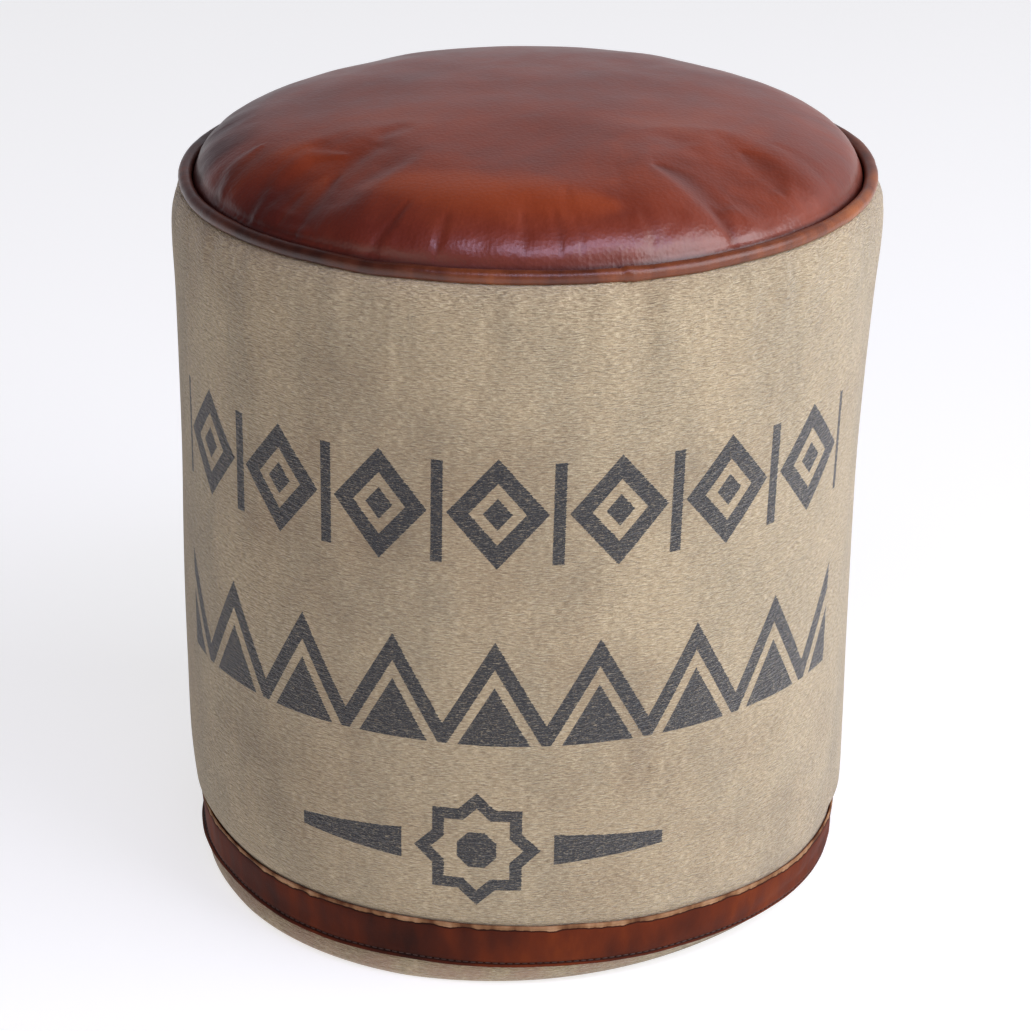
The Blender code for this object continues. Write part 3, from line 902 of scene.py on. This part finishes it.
values = formula(
    tree,
    {"r": reach, "x": seat_x, "clouds": clouds, "mottle": mottle, "grain": grain, "pleats": pleats, **marks},
    ("edge", "SUBTRACT", "r", 0.135),
    ("edge", "DIVIDE", "edge", 0.035),
    ("edge", "CLAMP", "edge", 0.0, 1.0),
    # painted shade: the rim of the seat darker towards the left, where less light falls
    ("rim", "MULTIPLY_ADD", "x", -2.6, 0.34),
    ("rim", "CLAMP", "rim", 0.0, 0.5),
    ("rim", "MULTIPLY", "rim", "edge"),
    ("fine", "MULTIPLY_ADD", "mottle", 0.35, -0.175),
    ("lift", "MULTIPLY", "ridge", 0.07),
    ("tone", "ADD", "clouds", "fine", "lift"),
    ("tone", "MULTIPLY_ADD", "tone", 0.75, 0.11),
    ("tone", "MULTIPLY_ADD", "rub", 0.16, "tone"),
    ("pleat_edge", "SUBTRACT", "pleats", 0.5),
    ("height", "MULTIPLY", "pleat_edge", "edge", 0.5),
    ("height", "MULTIPLY_ADD", "grain", 0.30, "height"),
    ("height", "MULTIPLY_ADD", "mottle", 0.25, "height"),
    # painted shade from the crease value: the creases, the wrinkle troughs, the seam and the left side
    ("dark", "MULTIPLY", "crease", 0.8),
    ("glow", "MULTIPLY", "rub", 0.62),
    ("rough", "MULTIPLY_ADD", "mottle", 0.20, 0.28),
    ("glaze", "MULTIPLY_ADD", "crease", -0.42, 0.44),
)
SEAT_TONES = ((0.30, "#4A1B12"), (0.46, "#6C2A19"), (0.60, "#84361C"), (0.76, "#9C4620"))
colour = add(tree, "ShaderNodeValToRGB", {0: values["tone"]}, SEAT_TONES).outputs[0]
# glow mixes in the rubbed orange brown; rim and dark mix in painted shade
for amount, over in (("glow", "#A8481A"), ("rim", "#541A1A"), ("dark", "#380F0B")):
    inputs = {MIX_AMOUNT: values[amount], MIX_UNDER: colour, MIX_OVER: over}
    colour = add(tree, "ShaderNodeMix", inputs, data_type="RGBA").outputs[MIX_RESULT]
bump = add(tree, "ShaderNodeBump", {"Height": values["height"], "Strength": 0.55, "Distance": 0.0006})
shader = add(
    tree,
    "ShaderNodeBsdfPrincipled",
    {
        "Base Color": colour,
        "Roughness": values["rough"],
        "Normal": bump.outputs[0],
        "Coat Weight": values["glaze"],
        "Coat Roughness": 0.31,
        "Coat Normal": bump.outputs[0],
    },
)
add(tree, "ShaderNodeOutputMaterial", {"Surface": shader.outputs[0]})


# %% Trim leather
LIP_TONES = ((0.35, "#5E3A24"), (0.50, "#8A6444"), (0.65, "#AA8462"))
TONE_STOPS = (0.25, 0.45, 0.60, 0.78)


def trim(name, lip, tones, painted_light_slope):
    """The hide of the piping and the band, with painted light: lighter towards the right by the slope given.
    The band's cut lip shows the paler inside of the hide, with painted shade in the groove under it and in
    the stitched crease.
    """
    material, tree = new_material(name)
    uv = add(tree, "ShaderNodeUVMap", uv_map="UVMap").outputs[0]
    place = add(tree, "ShaderNodeTexCoord").outputs["Object"]
    upright = add(tree, "ShaderNodeMapping", {0: place, "Scale": (1, 1, 0.35)}).outputs[0]
    clouds = add(tree, "ShaderNodeTexNoise", {"Vector": place, "Scale": 11, "Detail": 3}).outputs["Fac"]
    mottle = add(tree, "ShaderNodeTexNoise", {"Vector": upright, "Scale": 110, "Detail": 3}).outputs["Fac"]
    pores = add(tree, "ShaderNodeTexVoronoi", {"Vector": place, "Scale": 900}).outputs["Distance"]
    parts = add(tree, "ShaderNodeSeparateXYZ", {0: uv}).outputs
    across = add(tree, "ShaderNodeSeparateXYZ", {0: place}).outputs[0]
    values = formula(
        tree,
        {"x": across, "v": parts[1], "clouds": clouds, "mottle": mottle, "pores": pores},
        ("blotch", "MULTIPLY_ADD", "mottle", 0.40, -0.20),
        # painted light: the hide is lighter towards the right, where the light comes from
        ("side", "MULTIPLY", "x", painted_light_slope),
        ("tone", "ADD", "clouds", "blotch", "side"),
        ("height", "MULTIPLY_ADD", "pores", 0.35, "mottle"),
        ("ragged", "MULTIPLY_ADD", "mottle", 0.0030, -0.0015),
        ("rim", "ADD", "v", "ragged"),
        ("top", "GREATER_THAN", "rim", wide - 0.0024),
        # painted shade in the groove under the lip
        ("crack", "COMPARE", "rim", wide - 0.0027, 0.0004),
        # painted shade in the stitched crease
        ("sewn", "COMPARE", "v", 0.0026, 0.0007),
        ("dark", "MAXIMUM", "crack", "sewn"),
        ("dark", "MULTIPLY", "dark", 0.75),
        ("rough", "MULTIPLY_ADD", "mottle", 0.2, 0.58 if lip else 0.26),
    )
    colour = add(tree, "ShaderNodeValToRGB", {0: values["tone"]}, zip(TONE_STOPS, tones)).outputs[0]
    if lip:
        hide = add(tree, "ShaderNodeValToRGB", {0: mottle}, LIP_TONES).outputs[0]
        # dark mixes in the painted shade of the two grooves; top shows the paler hide of the lip
        for amount, over in (("dark", "#170A06"), ("top", hide)):
            inputs = {MIX_AMOUNT: values[amount], MIX_UNDER: colour, MIX_OVER: over}
            colour = add(tree, "ShaderNodeMix", inputs, data_type="RGBA").outputs[MIX_RESULT]
    bump = add(tree, "ShaderNodeBump", {"Height": values["height"], "Strength": 0.5, "Distance": 0.0004})
    shader = add(
        tree,
        "ShaderNodeBsdfPrincipled",
        {
            "Base Color": colour,
            "Roughness": values["rough"],
            "Normal": bump.outputs[0],
            "Specular IOR Level": 0.10 if lip else 0.5,
        },
    )
    add(tree, "ShaderNodeOutputMaterial", {"Surface": shader.outputs[0]})
    return material


BAND_TONES = ("#30130A", "#4C1E0E", "#602710", "#7A3614")
PIPING_TONES = ("#34160D", "#522512", "#743A1C", "#985426")
band_leather = trim("burnished band leather with a cut lip", True, BAND_TONES, 0.22)
piping_leather = trim("piping leather folded over cord", False, PIPING_TONES, 0.55)

# %% [markdown]
# ## Canvas finish
# The canvas is a heavy cotton, brushed until its face is a nap of short fibres. They lie mostly sideways
# and wave a little, so the cloth reads as fine wandering streaks about six millimetres long. Years of use
# add clouds of brown, and the cloth is a little darker towards the bottom. Shade is painted in as well:
# the cloth is darker and browner towards the left, where less light falls. The print is a dry charcoal ink
# that sat on the tips of the nap, so pale fibres show through it and its edges are frayed. The frieze is
# drawn from the UV map, which is in metres.

# %% Canvas
LOZENGE_Z, LOZENGE_HIGH, LOZENGE_PITCH = 0.2805, 0.0305, 0.0626
TOOTH_Z, TOOTH_HIGH, TOOTH_PITCH = 0.1490, 0.0605, 0.0548
STAR_U, STAR_Z, STAR_OUT, STAR_IN, STAR_EYE = -0.0215, 0.0870, 0.0240, 0.0175, 0.0105
canvas_cloth, tree = new_material("brushed cotton canvas with a worn frieze")
uv = add(tree, "ShaderNodeUVMap", uv_map="UVMap").outputs[0]
place = add(tree, "ShaderNodeTexCoord").outputs["Object"]
wave = add(tree, "ShaderNodeTexNoise", {"Vector": place, "Scale": 55, "Detail": 2}).outputs["Fac"]
parts = add(tree, "ShaderNodeSeparateXYZ", {0: uv}).outputs
bent = formula(
    tree,
    {"v": parts[1], "wave": wave},
    ("sway", "MULTIPLY_ADD", "wave", 0.0030, -0.0015),
    ("v", "ADD", "v", "sway"),
)["v"]
FIBRES = {  # marks per metre along and up the cloth, and how much finer detail they hold
    "nap": (290.0, 1500.0, 2),
    "fuzz": (850.0, 2300.0, 1),
    "drift": (150.0, 560.0, 2),
}
known = {"u": parts[0], "v": parts[1]}
for name, (along_u, along_v, detail) in FIBRES.items():
    spread = formula(
        tree, {"u": parts[0], "v": bent}, ("x", "MULTIPLY", "u", along_u), ("y", "MULTIPLY", "v", along_v)
    )
    fibre = add(tree, "ShaderNodeCombineXYZ", {0: spread["x"], 1: spread["y"]}).outputs[0]
    inputs = {"Vector": fibre, "Scale": 1, "Detail": detail}
    known[name] = add(tree, "ShaderNodeTexNoise", inputs).outputs["Fac"]
upright = add(tree, "ShaderNodeMapping", {0: place, "Scale": (1, 1, 0.45)}).outputs[0]
CLOUDS = {
    "stain": {"Vector": place, "Scale": 7, "Detail": 5, "Roughness": 0.62},
    "blot": {"Vector": place, "Scale": 38, "Detail": 3},
    "patch": {"Vector": upright, "Scale": 26, "Detail": 4, "Roughness": 0.6},
}
for name, inputs in CLOUDS.items():
    known[name] = add(tree, "ShaderNodeTexNoise", inputs).outputs["Fac"]
known["across"] = add(tree, "ShaderNodeSeparateXYZ", {0: place}).outputs[0]
ink = formula(
    tree,
    known,
    ("fray", "MULTIPLY_ADD", "nap", 0.0016, -0.0008),
    ("fray_2", "MULTIPLY_ADD", "fuzz", 0.0010, -0.0005),
    ("fray", "ADD", "fray", "fray_2"),
    ("x", "ADD", "u", 0.013, "fray"),
    ("y", "MULTIPLY_ADD", "fray", 0.5, "v"),
    ("extent", "COMPARE", "x", 0.0, 0.219),
    # a row of lozenges, each a ring round a core, with a bar between them
    ("a", "PINGPONG", "x", LOZENGE_PITCH / 2),
    ("b", "SUBTRACT", "y", LOZENGE_Z),
    ("b", "ABSOLUTE", "b"),
    ("a1", "DIVIDE", "a", 0.0262),
    ("b1", "DIVIDE", "b", LOZENGE_HIGH),
    ("lozenge", "ADD", "a1", "b1"),
    ("ring", "LESS_THAN", "lozenge", 1.0),
    ("ring_in", "GREATER_THAN", "lozenge", 0.56),
    ("ring", "MULTIPLY", "ring", "ring_in"),
    ("core", "LESS_THAN", "lozenge", 0.29),
    ("bar", "GREATER_THAN", "a", LOZENGE_PITCH / 2 - 0.0031),
    ("bar_end", "LESS_THAN", "b1", 0.92),
    ("bar", "MULTIPLY", "bar", "bar_end"),
    ("row_1", "MAXIMUM", "ring", "core", "bar"),
    # a row of solid wedges under a zigzag stripe
    ("c", "PINGPONG", "x", TOOTH_PITCH / 2),
    ("c", "DIVIDE", "c", TOOTH_PITCH / 2),
    ("h", "SUBTRACT", "y", TOOTH_Z),
    ("h", "DIVIDE", "h", TOOTH_HIGH),
    ("h_in", "GREATER_THAN", "h", 0.0),
    ("w", "MULTIPLY_ADD", "c", 0.80, "h"),
    ("wedge", "LESS_THAN", "w", 0.56),
    ("stripe", "COMPARE", "w", 0.86, 0.13),
    ("row_2", "MAXIMUM", "wedge", "stripe"),
    ("row_2", "MULTIPLY", "row_2", "h_in"),
    # an eight-pointed star with an eye, between two tapered arms
    ("p", "SUBTRACT", "u", STAR_U),
    ("p", "ADD", "p", "fray"),
    ("p", "ABSOLUTE", "p"),
    ("q", "SUBTRACT", "y", STAR_Z),
    ("q", "ABSOLUTE", "q"),
    ("square", "MAXIMUM", "p", "q"),
    ("diamond", "ADD", "p", "q"),
    ("diamond", "MULTIPLY", "diamond", 0.7071),
    ("star", "MINIMUM", "square", "diamond"),
    ("star_in", "GREATER_THAN", "star", STAR_IN),
    ("star", "LESS_THAN", "star", STAR_OUT),
    ("star", "MULTIPLY", "star", "star_in"),
    ("eye", "MAXIMUM", "square", "diamond"),
    ("eye", "LESS_THAN", "eye", STAR_EYE),
    ("taper", "MULTIPLY_ADD", "p", -0.085, 0.0125),
    ("arm", "LESS_THAN", "q", "taper"),
    ("arm_from", "GREATER_THAN", "p", 0.0410),
    ("arm_to", "LESS_THAN", "p", 0.1010),
    ("arm", "MULTIPLY", "arm", "arm_from", "arm_to"),
    ("emblem", "MAXIMUM", "star", "eye", "arm"),
    ("rows", "MAXIMUM", "row_1", "row_2"),
    ("rows", "MULTIPLY", "rows", "extent"),
    ("print", "MAXIMUM", "rows", "emblem"),
    # pale fibres that stand up through the ink
    ("gap", "MULTIPLY_ADD", "nap", 4.0, -2.35),
    ("gap_2", "MULTIPLY_ADD", "fuzz", 4.0, -2.35),
    ("gap", "MAXIMUM", "gap", "gap_2"),
    ("gap", "CLAMP", "gap", 0.0, 0.55),
    ("cover", "SUBTRACT", 0.95, "gap"),
    ("print", "MULTIPLY", "print", "cover"),
    # the tone of the nap, and how grey, soiled and scuffed it is, with painted shade towards the left
    ("thread", "MULTIPLY_ADD", "nap", 1.15, -0.19),
    ("thread", "MULTIPLY_ADD", "fuzz", 0.45, "thread"),
    ("thread", "MULTIPLY_ADD", "drift", 0.30, "thread"),
    ("grey", "MULTIPLY_ADD", "patch", 2.2, -0.95),
    ("grey", "CLAMP", "grey", 0.0, 0.50),
    # stains from the stain and blot noise, to which the lines below add darkening towards the bottom and
    # painted shade on the left
    ("soil", "MULTIPLY_ADD", "blot", 0.45, "stain"),
    # darker towards the bottom
    ("low", "MULTIPLY_ADD", "v", -1 / 0.055, 1.25),
    ("low", "MAXIMUM", "low", 0.0),
    ("low", "MULTIPLY", "low", 0.10),
    # painted shade: darker and browner towards the left, where less light falls
    ("left", "MULTIPLY_ADD", "across", -0.8, -0.02),
    ("left", "MAXIMUM", "left", 0.0),
    ("soil", "ADD", "soil", -0.70, "low", "left"),
    ("soil", "CLAMP", "soil", 0.0, 0.85),
    ("hem", "MULTIPLY_ADD", "v", -250.0, 4.5),
    ("hem", "CLAMP", "hem", 0.0, 0.6),
    ("blotch", "MULTIPLY_ADD", "blot", -5.0, 3.2),
    ("blotch", "CLAMP", "blotch", 0.0, 1.0),
    ("hem", "MULTIPLY", "hem", "blotch"),
    ("pile", "MULTIPLY_ADD", "fuzz", 0.4, "nap"),
    ("pile", "MULTIPLY_ADD", "drift", 1.3, "pile"),
)
NAP_TONES = ((0.45, "#907D5E"), (0.78, "#B6A381"), (1.0, "#D1C19D"))
colour = add(tree, "ShaderNodeValToRGB", {0: ink["thread"]}, NAP_TONES).outputs[0]
LAYERS = [  # how much, the colour, and how it is laid on
    ("grey", "#D9DDE2", "MULTIPLY"),
    # stains, darkening towards the bottom and painted shade towards the left
    ("soil", "#8C6A50", "MULTIPLY"),
    ("hem", "#9C7C66", "MIX"),
    ("print", "#1F262E", "MIX"),
]
for amount, over, laid in LAYERS:
    inputs = {MIX_AMOUNT: ink[amount], MIX_UNDER: colour, MIX_OVER: over}
    colour = add(tree, "ShaderNodeMix", inputs, data_type="RGBA", blend_type=laid).outputs[MIX_RESULT]
bump = add(tree, "ShaderNodeBump", {"Height": ink["pile"], "Strength": 1.0, "Distance": 0.0012})
shader = add(
    tree,
    "ShaderNodeBsdfPrincipled",
    {
        "Base Color": colour,
        "Roughness": 0.92,
        "Normal": bump.outputs[0],
        "Specular IOR Level": 0.2,
        "Sheen Weight": 0.45,
        "Sheen Roughness": 0.5,
        "Sheen Tint": "#F2F1EE",
    },
)
add(tree, "ShaderNodeOutputMaterial", {"Surface": shader.outputs[0]})
print("canvas and leather ready")

# %% [markdown]
# ## Plain materials of the frame and the filling
# These are hidden in use, but each is finished as what it is: rotary-cut plywood with long grain, sawn
# softwood posts, pressed hardboard, open-cell foam, fibre wadding, twisted cotton, black spun-bonded
# dust cloth, moulded nylon and zinc-plated steel. One function makes them from a base, a second tone, the
# size of the marks along each axis, and how deep they are.


# %% Plain materials
def plain(name, base, second, scale, rough, bump_mm=0.1, detail=4.0, metal=0.0, sheen=0.0):
    """A material with marks of two tones. scale is the marks per metre along X, Y and Z."""
    material, tree = new_material(name)
    place = add(tree, "ShaderNodeTexCoord").outputs["Object"]
    stretched = add(tree, "ShaderNodeMapping", {0: place, "Scale": scale}).outputs[0]
    inputs = {"Vector": stretched, "Scale": 1, "Detail": detail}
    marks = add(tree, "ShaderNodeTexNoise", inputs).outputs["Fac"]
    worn = add(tree, "ShaderNodeTexNoise", {"Vector": place, "Scale": 22, "Detail": 2}).outputs["Fac"]
    values = formula(
        tree,
        {"marks": marks, "worn": worn},
        ("tone", "MULTIPLY_ADD", "worn", 0.4, "marks"),
        ("rough", "MULTIPLY_ADD", "marks", 0.15, rough - 0.075),
    )
    colour = add(tree, "ShaderNodeValToRGB", {0: values["tone"]}, ((0.50, base), (0.90, second))).outputs[0]
    bump = add(tree, "ShaderNodeBump", {"Height": marks, "Strength": 0.6, "Distance": bump_mm / 1000})
    shader = add(
        tree,
        "ShaderNodeBsdfPrincipled",
        {
            "Base Color": colour,
            "Roughness": values["rough"],
            "Metallic": metal,
            "Normal": bump.outputs[0],
            "Sheen Weight": sheen,
        },
    )
    add(tree, "ShaderNodeOutputMaterial", {"Surface": shader.outputs[0]})
    return material


PLAIN = {
    "plywood": plain("rotary-cut birch plywood", "#C9A877", "#9F7B4D", (12, 190, 700), 0.6, 0.1),
    "softwood": plain("sawn pine", "#D8B681", "#A97C48", (260, 260, 9), 0.65, 0.15),
    "hardboard": plain("pressed hardboard", "#7A5638", "#54381F", (900, 900, 900), 0.75, 0.1),
    "foam": plain("open-cell polyurethane foam", "#DDD0AE", "#BCA97C", (1100, 1100, 1100), 0.95, 0.5),
    "wadding": plain("polyester fibre wadding", "#F0EFEA", "#D2D0C6", (150, 420, 420), 0.95, 0.8, sheen=0.3),
    "cotton_cord": plain("twisted cotton cord", "#E2DCCB", "#BDB39A", (1500, 1500, 1500), 0.9, 0.2),
    "dust_cloth": plain("black spun-bonded dust cloth", "#17171A", "#2A2A2E", (700, 700, 700), 0.85, 0.15),
    "nylon": plain("moulded black nylon", "#232324", "#303032", (300, 300, 300), 0.4, 0.03),
    "zinc_steel": plain("zinc-plated steel", "#B9B8B2", "#8F8E89", (500, 500, 60), 0.35, 0.02, metal=1.0),
}
waxed_thread = plain("waxed brown thread", "#4E3228", "#301C16", (2500, 2500, 2500), 0.6, 0.1)
print(len(PLAIN) + 1, "plain materials")

# %% [markdown]
# ## Sewing and stapling
# The band's stitches run in the crease near its folded edge. The canvas is joined at the back with a row
# of long stitches on each side of the seam. Under the base, staples hold the turned-in canvas to the board
# and the black dust cloth to that.

# %% Stitches
STITCH_LENGTH, STITCH_THICK, BAND_PITCH, SEAM_PITCH = 0.0028, 0.0008, 0.0040, 0.0046
SEAM_FROM, SEAM_TO, SEAM_HALF = 0.050, 0.386, 0.0045
stitch = bead_shape("stitch_shape", STITCH_LENGTH, STITCH_THICK)
groove_line = band_points[GROOVE_ROW] + circle(band_turn, 0.00025)
band_stitches = copies_along(
    "band_stitches", groove_line, True, stitch, waxed_thread, BAND_PITCH, yaw=0.06, drift=0.00015
)
heights = np.linspace(SEAM_FROM, SEAM_TO, 90)
seam_lines = []
for number, side_arc in enumerate((-SEAM_HALF, SEAM_HALF), 1):
    a = math.pi / 2 + side_arc / DRUM_RADIUS
    push = (wall_offset([a], heights) + back_ridge([a], heights))[:, 0]
    reach = np.interp(heights, wall_line[:, 1], wall_line[:, 0]) + push + 0.0001
    line = np.stack([reach * math.cos(a) + lean(heights), reach * math.sin(a), heights], axis=1)
    name = f"canvas_seam_stitches_{number}"
    seam_lines.append(copies_along(name, line, False, stitch, waxed_thread, SEAM_PITCH, yaw=0.05))

# %% Dust cloth
DUST_Z = (cover_low.z + cover_high.z) / 2
DUST_ROWS, DUST_COLUMNS, DUST_THICK = 45, 120, 0.0005
dust_r = np.linspace(0.0, cover_high.x, DUST_ROWS + 1)[1:]
dust_points = circle(ANGLES[:: COLUMNS // DUST_COLUMNS], 1.0) * dust_r[:, None, None]
sag = 0.00021 * ripple(dust_points, 0.030, 41)
turned_edge = np.where(dust_r > cover_high.x - 0.010, 0.0002, 0.0)[:, None]
dust_points[..., 2] = DUST_Z - 0.0001 + sag - turned_edge
dust_uv = np.stack(np.meshgrid(np.arange(DUST_COLUMNS + 1) * 0.01, np.append(dust_r, 0)), axis=-1)
dust = grid_object("dust_cloth_cover", dust_points[::-1], dust_uv)
rebuilt = bmesh.new()
rebuilt.from_mesh(dust.data)
rebuilt.verts.ensure_lookup_table()
centre_ring = [v for v in rebuilt.verts if math.hypot(v.co.x, v.co.y) < dust_r[0] * 1.01]
edges = [e for e in rebuilt.edges if e.is_boundary and all(v in centre_ring for v in e.verts)]
bmesh.ops.holes_fill(rebuilt, edges=edges, sides=0)
bmesh.ops.recalc_face_normals(rebuilt, faces=rebuilt.faces)
if sum(f.normal.z for f in rebuilt.faces) > 0:
    bmesh.ops.reverse_faces(rebuilt, faces=rebuilt.faces)
rebuilt.to_mesh(dust.data)
rebuilt.free()
thicken(dust, DUST_THICK)
print("dust cloth", len(dust.data.polygons), "faces")

# %% Staples
STAPLE_LENGTH, STAPLE_THICK, CANVAS_STAPLE_RING = 0.0105, 0.0011, 0.1585
CLOTH_PITCH, CANVAS_PITCH = 0.034, 0.026
staple = bead_shape("staple_shape", STAPLE_LENGTH, STAPLE_THICK, sides=4, flat=0.7)
staple_turn = math.tau * np.arange(240) / 240
dust_staples = copies_along(
    "dust_cloth_staples",
    circle(staple_turn, cover_high.x - 0.006) + (0, 0, DUST_Z - 0.0010),
    True,
    staple,
    PLAIN["zinc_steel"],
    CLOTH_PITCH,
    yaw=0.35,
)
canvas_staples = copies_along(
    "canvas_staples",
    circle(staple_turn, CANVAS_STAPLE_RING) + (0, 0, UNDERSIDE - 0.0001),
    True,
    staple,
    PLAIN["zinc_steel"],
    CANVAS_PITCH,
    yaw=0.5,
)

# %% [markdown]
# ## Filling
# Under the leather lies a crown of fibre wadding on a round foam pad, and a foam sheet is wrapped round the
# wall and rolled over the base edge. They lean with the cover where they touch it and keep to the frame
# where they touch that. Each is a closed skin with slightly uneven sides.


# %% Filling shapes
def turned(name, line, columns=120, leaning=1.0, close_rows=True, follows_wall=False):
    """A closed turned skin from a line of (radius, height) points, in order counterclockwise."""
    turn = all_round(columns)
    points = np.array(line, float)
    radius = np.broadcast_to(points[:, :1], (len(points), columns)).copy()
    height = np.broadcast_to(points[:, 1:], (len(points), columns)).copy()
    if follows_wall:
        radius[1:-1] += wall_offset(turn, points[1:-1, 1])
    made = around(radius, height, turn)
    made[..., 0] += (np.broadcast_to(leaning, (len(points),))[:, None] - 1) * lean(height)
    run = np.arange(len(points) + (1 if close_rows else 0)) * 0.01
    return grid_object(name, made, ring_uv(run, columns, DRUM_RADIUS), close_rows=close_rows)


def cap(piece):
    """Close the open ends of a turned skin with flat faces."""
    closing = bmesh.new()
    closing.from_mesh(piece.data)
    bmesh.ops.holes_fill(closing, edges=[e for e in closing.edges if e.is_boundary], sides=0)
    bmesh.ops.recalc_face_normals(closing, faces=closing.faces)
    closing.to_mesh(piece.data)
    closing.free()
    return piece


inside = beside(canvas_line, -(CANVAS_THICK + 0.0011))
keep = [p for p in inside if 0.0080 < p[1] < shell_high.z and p[0] > shell_high.x + 0.002]
shell_face = shell_high.x + 0.0003
wrap_line = [(shell_face, keep[0][1]), *keep[::4], keep[-1], (shell_face, keep[-1][1])]
wrap_lean = [0.0] + [1.0] * (len(wrap_line) - 2) + [0.0]
wrap = turned("side_foam_wrap", wrap_line, 360, wrap_lean, follows_wall=True)
pad_r, pad_low, pad_high = foam_high.x, foam_low.z, foam_high.z
PAD_LINE = [
    (0.004, pad_low),
    (pad_r - 0.004, pad_low),
    (pad_r - 0.001, pad_low + 0.001),
    (pad_r, pad_low + 0.004),
    (pad_r, pad_high - 0.006),
    (pad_r - 0.002, pad_high - 0.002),
    (pad_r - 0.006, pad_high),
    (0.004, pad_high),
]
pad = cap(turned("seat_foam_pad", PAD_LINE, leaning=0.0, close_rows=False))


def between(name, top, bottom):
    """A closed skin between two grids of points."""
    rows, columns = top.shape[:2]
    count = rows * columns
    index = np.arange(count).reshape(rows, columns)
    corners = (index[:-1, :-1], index[:-1, 1:], index[1:, 1:], index[1:, :-1])
    faces = np.stack([corner.ravel() for corner in corners], axis=1)
    border = [*index[0, :-1], *index[:-1, -1], *index[-1, :0:-1], *index[:0:-1, 0]]
    sides = [(b, a, a + count, b + count) for a, b in zip(border, border[1:] + border[:1])]
    mesh = bpy.data.meshes.new(name)
    points = np.concatenate([top.reshape(-1, 3), bottom.reshape(-1, 3)])
    mesh.from_pydata(points.tolist(), [], [*faces.tolist(), *(faces[:, ::-1] + count).tolist(), *sides])
    mesh.shade_smooth()
    made = bpy.data.objects.new(name, mesh)
    scene.collection.objects.link(made)
    return made


def grid_place(u, v):
    """The place in the square grid, from -1 to 1, that lands on (u, v) in the round."""
    across, slant = 2 + u * u - v * v, 2 * math.sqrt(2) * u
    return (np.sqrt((across + slant).clip(0)) - np.sqrt((across - slant).clip(0))) / 2


CROWN_SINK = 0.0036  # how far the filling lies below the leather's outer face
inner = share[::4, ::4] * (DOME_SHARE - 0.012)
inner_angle = angle[::4, ::4]
inner_x, inner_y = inner * np.cos(inner_angle), inner * np.sin(inner_angle)
last = len(share) - 1
column_at = np.rint((grid_place(inner_x, inner_y) + 1) / 2 * last).astype(int)
row_at = np.rint((grid_place(inner_y, inner_x) + 1) / 2 * last).astype(int)
sunk = (relief - CROWN_SINK)[row_at, column_at]
crown_top = surface[row_at, column_at] + outward[row_at, column_at] * sunk[..., None]
crown_top[..., 0] += lean(SEAM_Z)
crown_base = crown_top.copy()
crown_base[..., 2] = CROWN_BASE_Z
crown = between("seat_crown_fill", crown_top, crown_base)
print("filling pieces ready")

# %% [markdown]
# ## Finishes and frame
# Each piece is listed with its material, its slot name and the solids it stands for. It gets the material
# and rides on the root body, and the solids it stands for are hidden. The solids that stay keep their meshes
# and only get a finish.

# %% Dress the pieces
PIECES = [
    (seat, seat_leather, "seat_leather", ["seat_leather"]),
    (piping, piping_leather, "trim_leather", ["seat_piping"]),
    (cord, PLAIN["cotton_cord"], "cotton_cord", ["piping_cord"]),
    (canvas, canvas_cloth, "canvas", ["canvas_side"]),
    (band, band_leather, "trim_leather", ["leather_band"]),
    (band_stitches, None, "cotton_cord", []),
    (seam_lines[0], None, "cotton_cord", []),
    (seam_lines[1], None, "cotton_cord", []),
    (dust, PLAIN["dust_cloth"], "dust_cloth", ["dust_cover"]),
    (dust_staples, None, "zinc_steel", []),
    (canvas_staples, None, "zinc_steel", []),
    (wrap, PLAIN["foam"], "foam", ["side_foam"]),
    (pad, PLAIN["foam"], "foam", ["seat_foam"]),
    (crown, PLAIN["wadding"], "wadding", ["seat_wadding"]),
]
for piece, material, slot_name, nodes in PIECES:
    if material:
        piece.data.materials.clear()
        piece.data.materials.append(material)
    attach(piece, "root")
    if nodes:
        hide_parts(*nodes)

# %% Dress the frame's solids
replaced = {node for *_, nodes in PIECES for node in nodes}
slot_of = {part["node"]: part["material_slot"] for part in frame["record"]["subparts"]}
for node, solid in frame["nodes"].items():
    if node in replaced:
        continue
    for place in solid.material_slots:
        place.link = "OBJECT"
        place.material = PLAIN[slot_of[node]]
print(len(frame["nodes"]) - len(replaced), "solids dressed")
